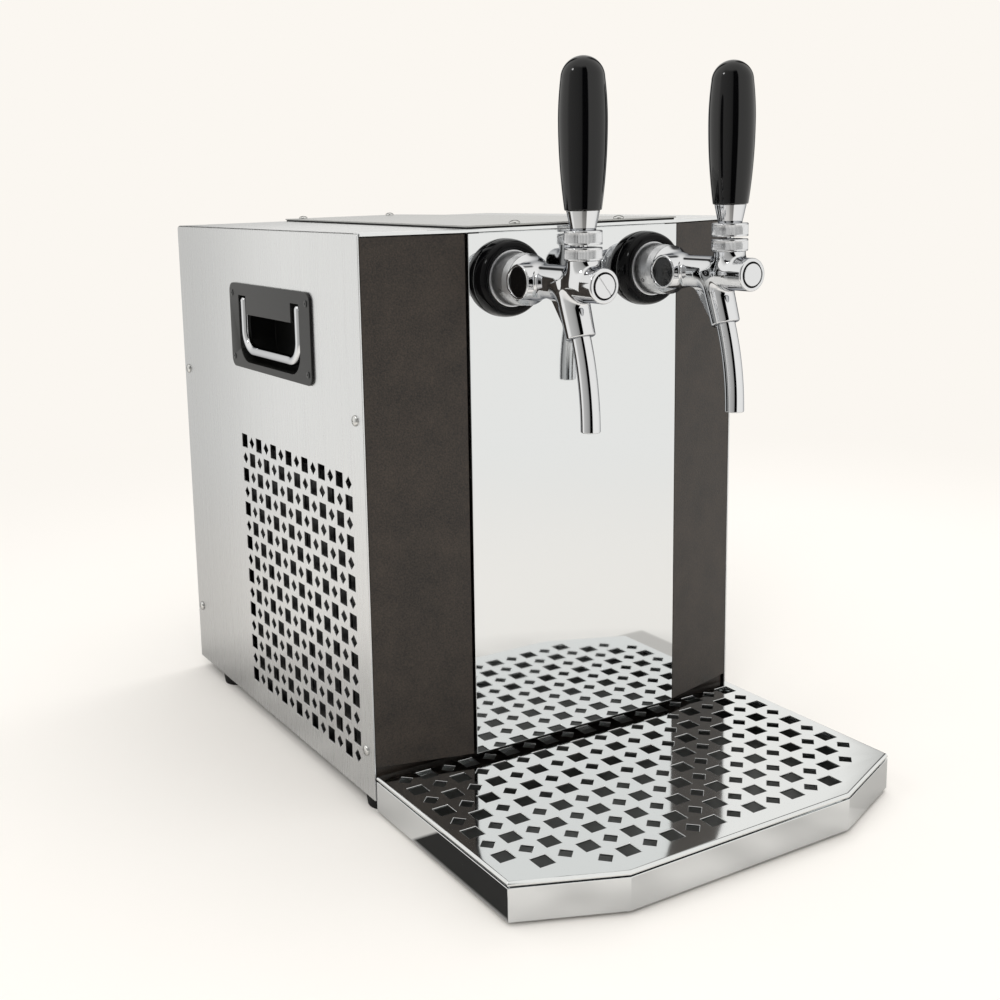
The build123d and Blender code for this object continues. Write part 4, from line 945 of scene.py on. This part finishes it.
def buildTap(side):
    x = tapPlace[side]
    y = tapPlace["mirrorY"]
    z = tapPlace["height"]
    t = tapTrim
    root = straightAxis((x, y, z), (0, -1, 0))
    pivot = straightAxis((x, y - tapBody["leverU"], z + tapBody["pivotRise"]), (0, 0, 1))
    toRow = np.array([[1, 0, 0], [0, -1, 0], [0, 0, 1]], float)
    casting = (castPoints @ toRow + np.array((x, y, z)), [castQuads], castNormals @ toRow)
    makePiece(side + "_tap_casting", [casting], side + "_tap_body")
    crest, lip = t["rosetteCrest"], t["rosetteLip"]
    seat = t["rosetteReach"] - lip
    doughnut = (
        [(t["shankHole"], 0), (crest + 1.6, 0)]
        + arcLine((crest, 0), (t["rosette"] - crest, t["rosetteReach"]), 4, 90, 26)
        + arcLine((crest, seat), lip, 90, 180, 10)[1:]
        + [(t["shankHole"], seat)]
    )
    makePiece(
        side + "_rosette_moulding",
        [turned(doughnut, root, 128)],
        side + "_rosette",
        paint="rosette_black",
    )
    shell = rounded(
        [
            (9.55, 9.2, 0.2),
            (t["flange"], 9.2, 0.25),
            (t["flange"], 10.4, 0.35),
            (20.2, 10.4, 0.35),
            (19.4, 23.7, 1.5),
            (18.2, 29.7, 0.8),
            (9.55, 29.7, 0.2),
        ]
    )
    makePiece(side + "_coupling_shell", [turned(shell, root, 128)], side + "_coupling")
    # the set screw that locks the coupling sits low on its left
    a = math.radians(t["setScrewAngle"])
    spot = (x - t["coupling"] * math.cos(a), y - t["setScrewU"], z - t["coupling"] * math.sin(a))
    socket = [(0, -2), (1.5, -2), (1.5, 0.05), (0.9, 0.05), (0.75, -0.8), (0, -0.8)]
    makePiece(
        side + "_coupling_set_screw",
        [turned(socket, straightAxis(spot, (-math.cos(a), 0, -math.sin(a))), 24)],
        side + "_coupling",
        [],
        "black_screw",
    )
    disc = rounded([(0, 11.1, 0), (10.9, 11.1, 0.3), (10.9, 18.2, 0.5), (0, 18.2, 0)])
    plugAxis = straightAxis((x, y - tapBody["bossU"], z), (-1, 0, 0))
    makePiece(side + "_plug_disc", [turned(disc, plugAxis, 96)], side + "_side_plug")
    if side == "right":
        cap = rounded([(0, 112.4, 0), (9.2, 112.4, 0.3), (9.2, 118, 0.2), (8.2, 118, 0.1), (8.2, 120.4, 0.4), (0, 120.4, 0)])
        makePiece(side + "_end_cap_disc", [turned(cap, root, 96)], side + "_end_cap")
    # a black seal shows as the dark ring between the cap's face and the barrel's end
    seal = rounded([(8.3, 118.05, 0), (9.3, 118.05, 0), (9.3, 118.7, 0.2), (8.3, 118.7, 0.2)])
    makePiece(side + "_cap_seal", [turned(seal, root, 96)], side + "_end_cap", [], "rubber")
    segments = t["teeth"] * 6
    ballSeat = arcLine((0, 0), 8.3, 33.7, -13.9, 8)
    bonnet = knurledRing(-2, 7, 10.0, [(9.29, 7.0)] + ballSeat)
    makePiece(side + "_bonnet_ring", [turned(bonnet, pivot, segments, knurl(-0.7, 5.7))], side + "_bonnet")
    cup = arcLine((0, 0), 15.2, 78.4, 35.4, 8)
    collar = knurledRing(8.8, 18.5, 12.45, [(3.05, 18.5)] + cup[:-1])
    makePiece(
        side + "_collar_ring", [turned(collar, pivot, segments, knurl(10.1, 17.2))], side + "_lever_collar"
    )
    cone = rounded([(3.05, 18.5, 0.1), (8.65, 18.5, 0.3), (11.5, 32, 0.4), (3.05, 32, 0.1)])
    makePiece(side + "_ferrule_cone", [turned(cone, pivot, 96)], side + "_ferrule")
    foot = rounded([(3.05, 32, 0), (12.75, 32, 0.9), (13.15, 38, 0)])
    lower = arcLine((16.8 - 433.8, 91.5), 433.8, -7.8, 0, 24)
    upper = arcLine((16.8 - 229.7, 91.5), 229.7, 0.5, 7.18, 14)
    dome = arcLine((0, 119.48), 15.02, 2.75, 90, 22)
    grip = [(0, 49.3), (3.05, 49.3)] + foot[:-1] + [p for p in lower if p[1] > 34] + upper + dome
    makePiece(side + "_handle_moulding", [turned(grip, pivot, 96)], side + "_tap_handle")
    buildSpout(side, x, y, z)


for side in ("left", "right"):
    buildTap(side)
print("taps built")

# ---- studio: pale floor that fades into the backdrop, soft light from all round
studio = {
    "backdrop": "#FBF7F1",
    "floor": "#FAF6F0",
    "mirrored": "#F5F4F1",  # the backdrop's colour as polished metal sees it
    "nearMirrored": 0.67,  # how bright it sees the paper beside the object
    "farMirrored": 0.9,
    # painted reflection: black and grey patches on the paper that show in polished metal alone, in metres
    "painted_reflection_patches": (
        ((-0.216, -0.275), (-0.184, -0.14), 0.04),
        ((0.145, -0.345), (0.26, -0.255), 0.55),
    ),
    "floorSize": 40.0,  # metres
    "fadeStart": 0.45,  # metres from the middle
    "fadeEnd": 1.5,
    "worldLight": 0.75,
    "front": (-0.486, -0.874),  # the level direction that the dark strip is centred near
    # brightness round the object, in degrees from that direction, to the right as positive; the last
    # pair of dark strips reaches down only to the far end of the floor
    "strips": (
        (-180, 1.0),
        (-172, 1.0),
        (-167, 0.05),
        (-153, 0.05),
        (-148, 1.0),
        (-86, 1.0),
        (-74, 0.6),
        (-26, 0.42),
        (-12, 0.3),
        (-8, 0.0),
        (16, 0.0),
        (20, 1.0),
        (134, 1.0),
        (138, 0.1),
        (154, 0.1),
        (160, 1.0),
    ),
    # place in metres, width, watts, and whether polished surfaces mirror the lamp
    "lamps": (
        ("keySoftbox", (-1.6, -1.9, 2.3), 1.5, 24, False),
        ("topSoftbox", (0.3, 0.2, 2.6), 2.0, 14, False),
        ("rimSoftbox", (1.8, 0.6, 1.8), 1.2, 7, False),
        ("glintSoftbox", (-1.6, 0.1, 1.8), 0.32, 2.5, True),
    ),
}


def addStrips(tree, way, setup):
    # brightness by the level angle of a direction: atan2(its part to the right, its part ahead) on a ramp
    frontX, frontY = setup["front"]
    ahead = addNode(tree, "ShaderNodeVectorMath", {0: way, 1: (frontX, frontY, 0)}, operation="DOT_PRODUCT")
    right = addNode(tree, "ShaderNodeVectorMath", {0: way, 1: (-frontY, frontX, 0)}, operation="DOT_PRODUCT")
    turn = addNode(
        tree, "ShaderNodeMath", {0: right.outputs["Value"], 1: ahead.outputs["Value"]}, operation="ARCTAN2"
    )
    share = addNode(tree, "ShaderNodeMapRange", {0: turn.outputs[0], 1: -math.pi, 2: math.pi})
    strips = addNode(tree, "ShaderNodeValToRGB", {0: share.outputs[0]})
    stops = strips.color_ramp.elements
    stops.remove(stops[1])
    for index, (degrees, bright) in enumerate(setup["strips"]):
        stop = stops.new(degrees / 360 + 0.5) if index else stops[0]
        stop.position = degrees / 360 + 0.5
        stop.color = (bright, bright, bright, 1)
    return strips.outputs[0]


def addPaintedReflectionPatch(tree, place, level, painted_patch):
    # painted reflection: level falls to the patch's tone where the floor point lies between the patch's two corners
    (lowX, lowY), (highX, highY), tone = painted_patch
    split = addNode(tree, "ShaderNodeSeparateXYZ", {0: place})
    share = 1.0
    for axis, low, high in ((0, lowX, highX), (1, lowY, highY)):
        for edge, way in ((low, 1), (high, -1)):
            side = addNode(
                tree, "ShaderNodeMapRange", {0: split.outputs[axis], 1: edge - 0.002 * way, 2: edge + 0.002 * way}
            )
            share = addNode(tree, "ShaderNodeMath", {0: side.outputs[0], 1: share}, operation="MULTIPLY").outputs[0]
    return addNode(tree, "ShaderNodeMix", {0: share, 2: level, 3: tone}).outputs[0]


def makeFloor(setup):
    # a large flat floor whose shader turns from lit paper into the backdrop's own colour with distance
    half = setup["floorSize"] / 2
    mesh = bpy.data.meshes.new("studioFloor")
    mesh.from_pydata([(-half, -half, 0), (half, -half, 0), (half, half, 0), (-half, half, 0)], [], [(0, 1, 2, 3)])
    floor = bpy.data.objects.new("studioFloor", mesh)
    scene.collection.objects.link(floor)
    material = bpy.data.materials.new("seamlessPaper")
    material.use_nodes = True
    tree = material.node_tree
    tree.nodes.clear()
    place = addNode(tree, "ShaderNodeTexCoord").outputs["Object"]
    reach = addNode(tree, "ShaderNodeVectorMath", {0: place}, operation="LENGTH").outputs["Value"]
    seen = addNode(tree, "ShaderNodeLightPath").outputs["Is Glossy Ray"]
    # polished metal sees the paper as cloudy, with the patches of painted reflection on it
    cloud = addNode(tree, "ShaderNodeTexNoise", {"Vector": place, "Scale": 18.0, "Detail": 1.0})
    patchy = addNode(
        tree,
        "ShaderNodeMapRange",
        {0: cloud.outputs[0], 1: 0.3, 2: 0.7, 3: setup["nearMirrored"] - 0.1, 4: setup["nearMirrored"] + 0.1},
    ).outputs[0]
    off = addNode(tree, "ShaderNodeMapRange", {0: reach, 1: 0.35, 2: 0.44}).outputs[0]
    level = addNode(tree, "ShaderNodeMix", {0: off, 2: patchy, 3: setup["farMirrored"]}).outputs[0]
    for painted_patch in setup["painted_reflection_patches"]:
        level = addPaintedReflectionPatch(tree, place, level, painted_patch)
    near = addNode(tree, "ShaderNodeMix", {0: seen, 2: 1.0, 3: level}).outputs[0]
    pale = addNode(
        tree, "ShaderNodeVectorMath", {0: toLinear(setup["floor"])[:3], "Scale": near}, operation="SCALE"
    )
    paper = addNode(tree, "ShaderNodeBsdfDiffuse", {"Color": pale.outputs[0]})
    # further off it carries the studio's strips, the back ones only at its far end
    strips = addStrips(tree, place, setup)
    behind = addNode(
        tree, "ShaderNodeVectorMath", {0: place, 1: (*setup["front"], 0)}, operation="DOT_PRODUCT"
    ).outputs["Value"]
    back = addNode(tree, "ShaderNodeMapRange", {0: behind, 1: -0.05, 2: 0.05, 3: 1.0, 4: 0.0}).outputs[0]
    close = addNode(tree, "ShaderNodeMapRange", {0: reach, 1: 6.0, 2: 9.0, 3: 1.0, 4: 0.0}).outputs[0]
    keep = addNode(tree, "ShaderNodeMath", {0: back, 1: close}, operation="MULTIPLY").outputs[0]
    shown = addNode(tree, "ShaderNodeMix", {0: keep, 6: strips, 7: (1, 1, 1, 1)}, data_type="RGBA")
    glossy = addNode(
        tree,
        "ShaderNodeMix",
        {0: 1.0, 6: shown.outputs[2], 7: toLinear(setup["mirrored"])},
        data_type="RGBA",
        blend_type="MULTIPLY",
    )
    far = addNode(
        tree,
        "ShaderNodeMix",
        {0: seen, 6: toLinear(setup["backdrop"]), 7: glossy.outputs[2]},
        data_type="RGBA",
    )
    glow = addNode(tree, "ShaderNodeEmission", {"Color": far.outputs[2], "Strength": 1.0})
    fade = addNode(
        tree,
        "ShaderNodeMapRange",
        {0: reach, 1: setup["fadeStart"], 2: setup["fadeEnd"]},
        interpolation_type="SMOOTHSTEP",
    )
    mixed = addNode(
        tree, "ShaderNodeMixShader", {0: fade.outputs[0], 1: paper.outputs[0], 2: glow.outputs[0]}
    )
    addNode(tree, "ShaderNodeOutputMaterial", {"Surface": mixed.outputs[0]})
    mesh.materials.append(material)


def makeWorld(setup):
    # even light; the camera sees the backdrop, and polished metal sees it with the studio's dark strips
    world = bpy.data.worlds.new("studioWorld")
    scene.world = world
    world.use_nodes = True
    tree = world.node_tree
    tree.nodes.clear()
    way = addNode(tree, "ShaderNodeTexCoord").outputs["Generated"]
    strips = addStrips(tree, way, setup)
    high = addNode(tree, "ShaderNodeSeparateXYZ", {0: way}).outputs[2]
    dome = addNode(tree, "ShaderNodeMapRange", {0: high, 1: 0.72, 2: 0.9}, interpolation_type="SMOOTHSTEP")
    seen = addNode(
        tree, "ShaderNodeMix", {0: dome.outputs[0], 6: strips, 7: (1, 1, 1, 1)}, data_type="RGBA"
    )
    paths = addNode(tree, "ShaderNodeLightPath")
    plain = addNode(
        tree, "ShaderNodeBackground", {"Color": (1, 1, 1, 1), "Strength": setup["worldLight"]}
    )
    back = addNode(
        tree, "ShaderNodeBackground", {"Color": toLinear(setup["backdrop"]), "Strength": 1.0}
    )
    tinted = addNode(
        tree,
        "ShaderNodeMix",
        {0: 1.0, 6: seen.outputs[2], 7: toLinear(setup["mirrored"])},
        data_type="RGBA",
        blend_type="MULTIPLY",
    )
    gloss = addNode(tree, "ShaderNodeBackground", {"Color": tinted.outputs[2], "Strength": 1.0})
    first = addNode(
        tree,
        "ShaderNodeMath",
        {0: paths.outputs["Is Camera Ray"], 1: paths.outputs["Is Transmission Ray"]},
        operation="MAXIMUM",
    )
    mixed = addNode(
        tree, "ShaderNodeMixShader", {0: first.outputs[0], 1: plain.outputs[0], 2: back.outputs[0]}
    )
    final = addNode(
        tree, "ShaderNodeMixShader", {0: paths.outputs["Is Glossy Ray"], 1: mixed.outputs[0], 2: gloss.outputs[0]}
    )
    addNode(tree, "ShaderNodeOutputWorld", {"Surface": final.outputs[0]})


def makeLamps(setup):
    for name, place, size, power, mirrored in setup["lamps"]:
        lamp = bpy.data.objects.new(name, bpy.data.lights.new(name, "AREA"))
        lamp.data.shape = "DISK"
        lamp.data.size = size
        lamp.data.energy = power
        lamp.location = place
        lamp.rotation_euler = (Vector((0, 0, 0.25)) - Vector(place)).to_track_quat("-Z", "Y").to_euler()
        lamp.visible_glossy = mirrored
        scene.collection.objects.link(lamp)


makeFloor(studio)
makeWorld(studio)
makeLamps(studio)
print("studio lit")
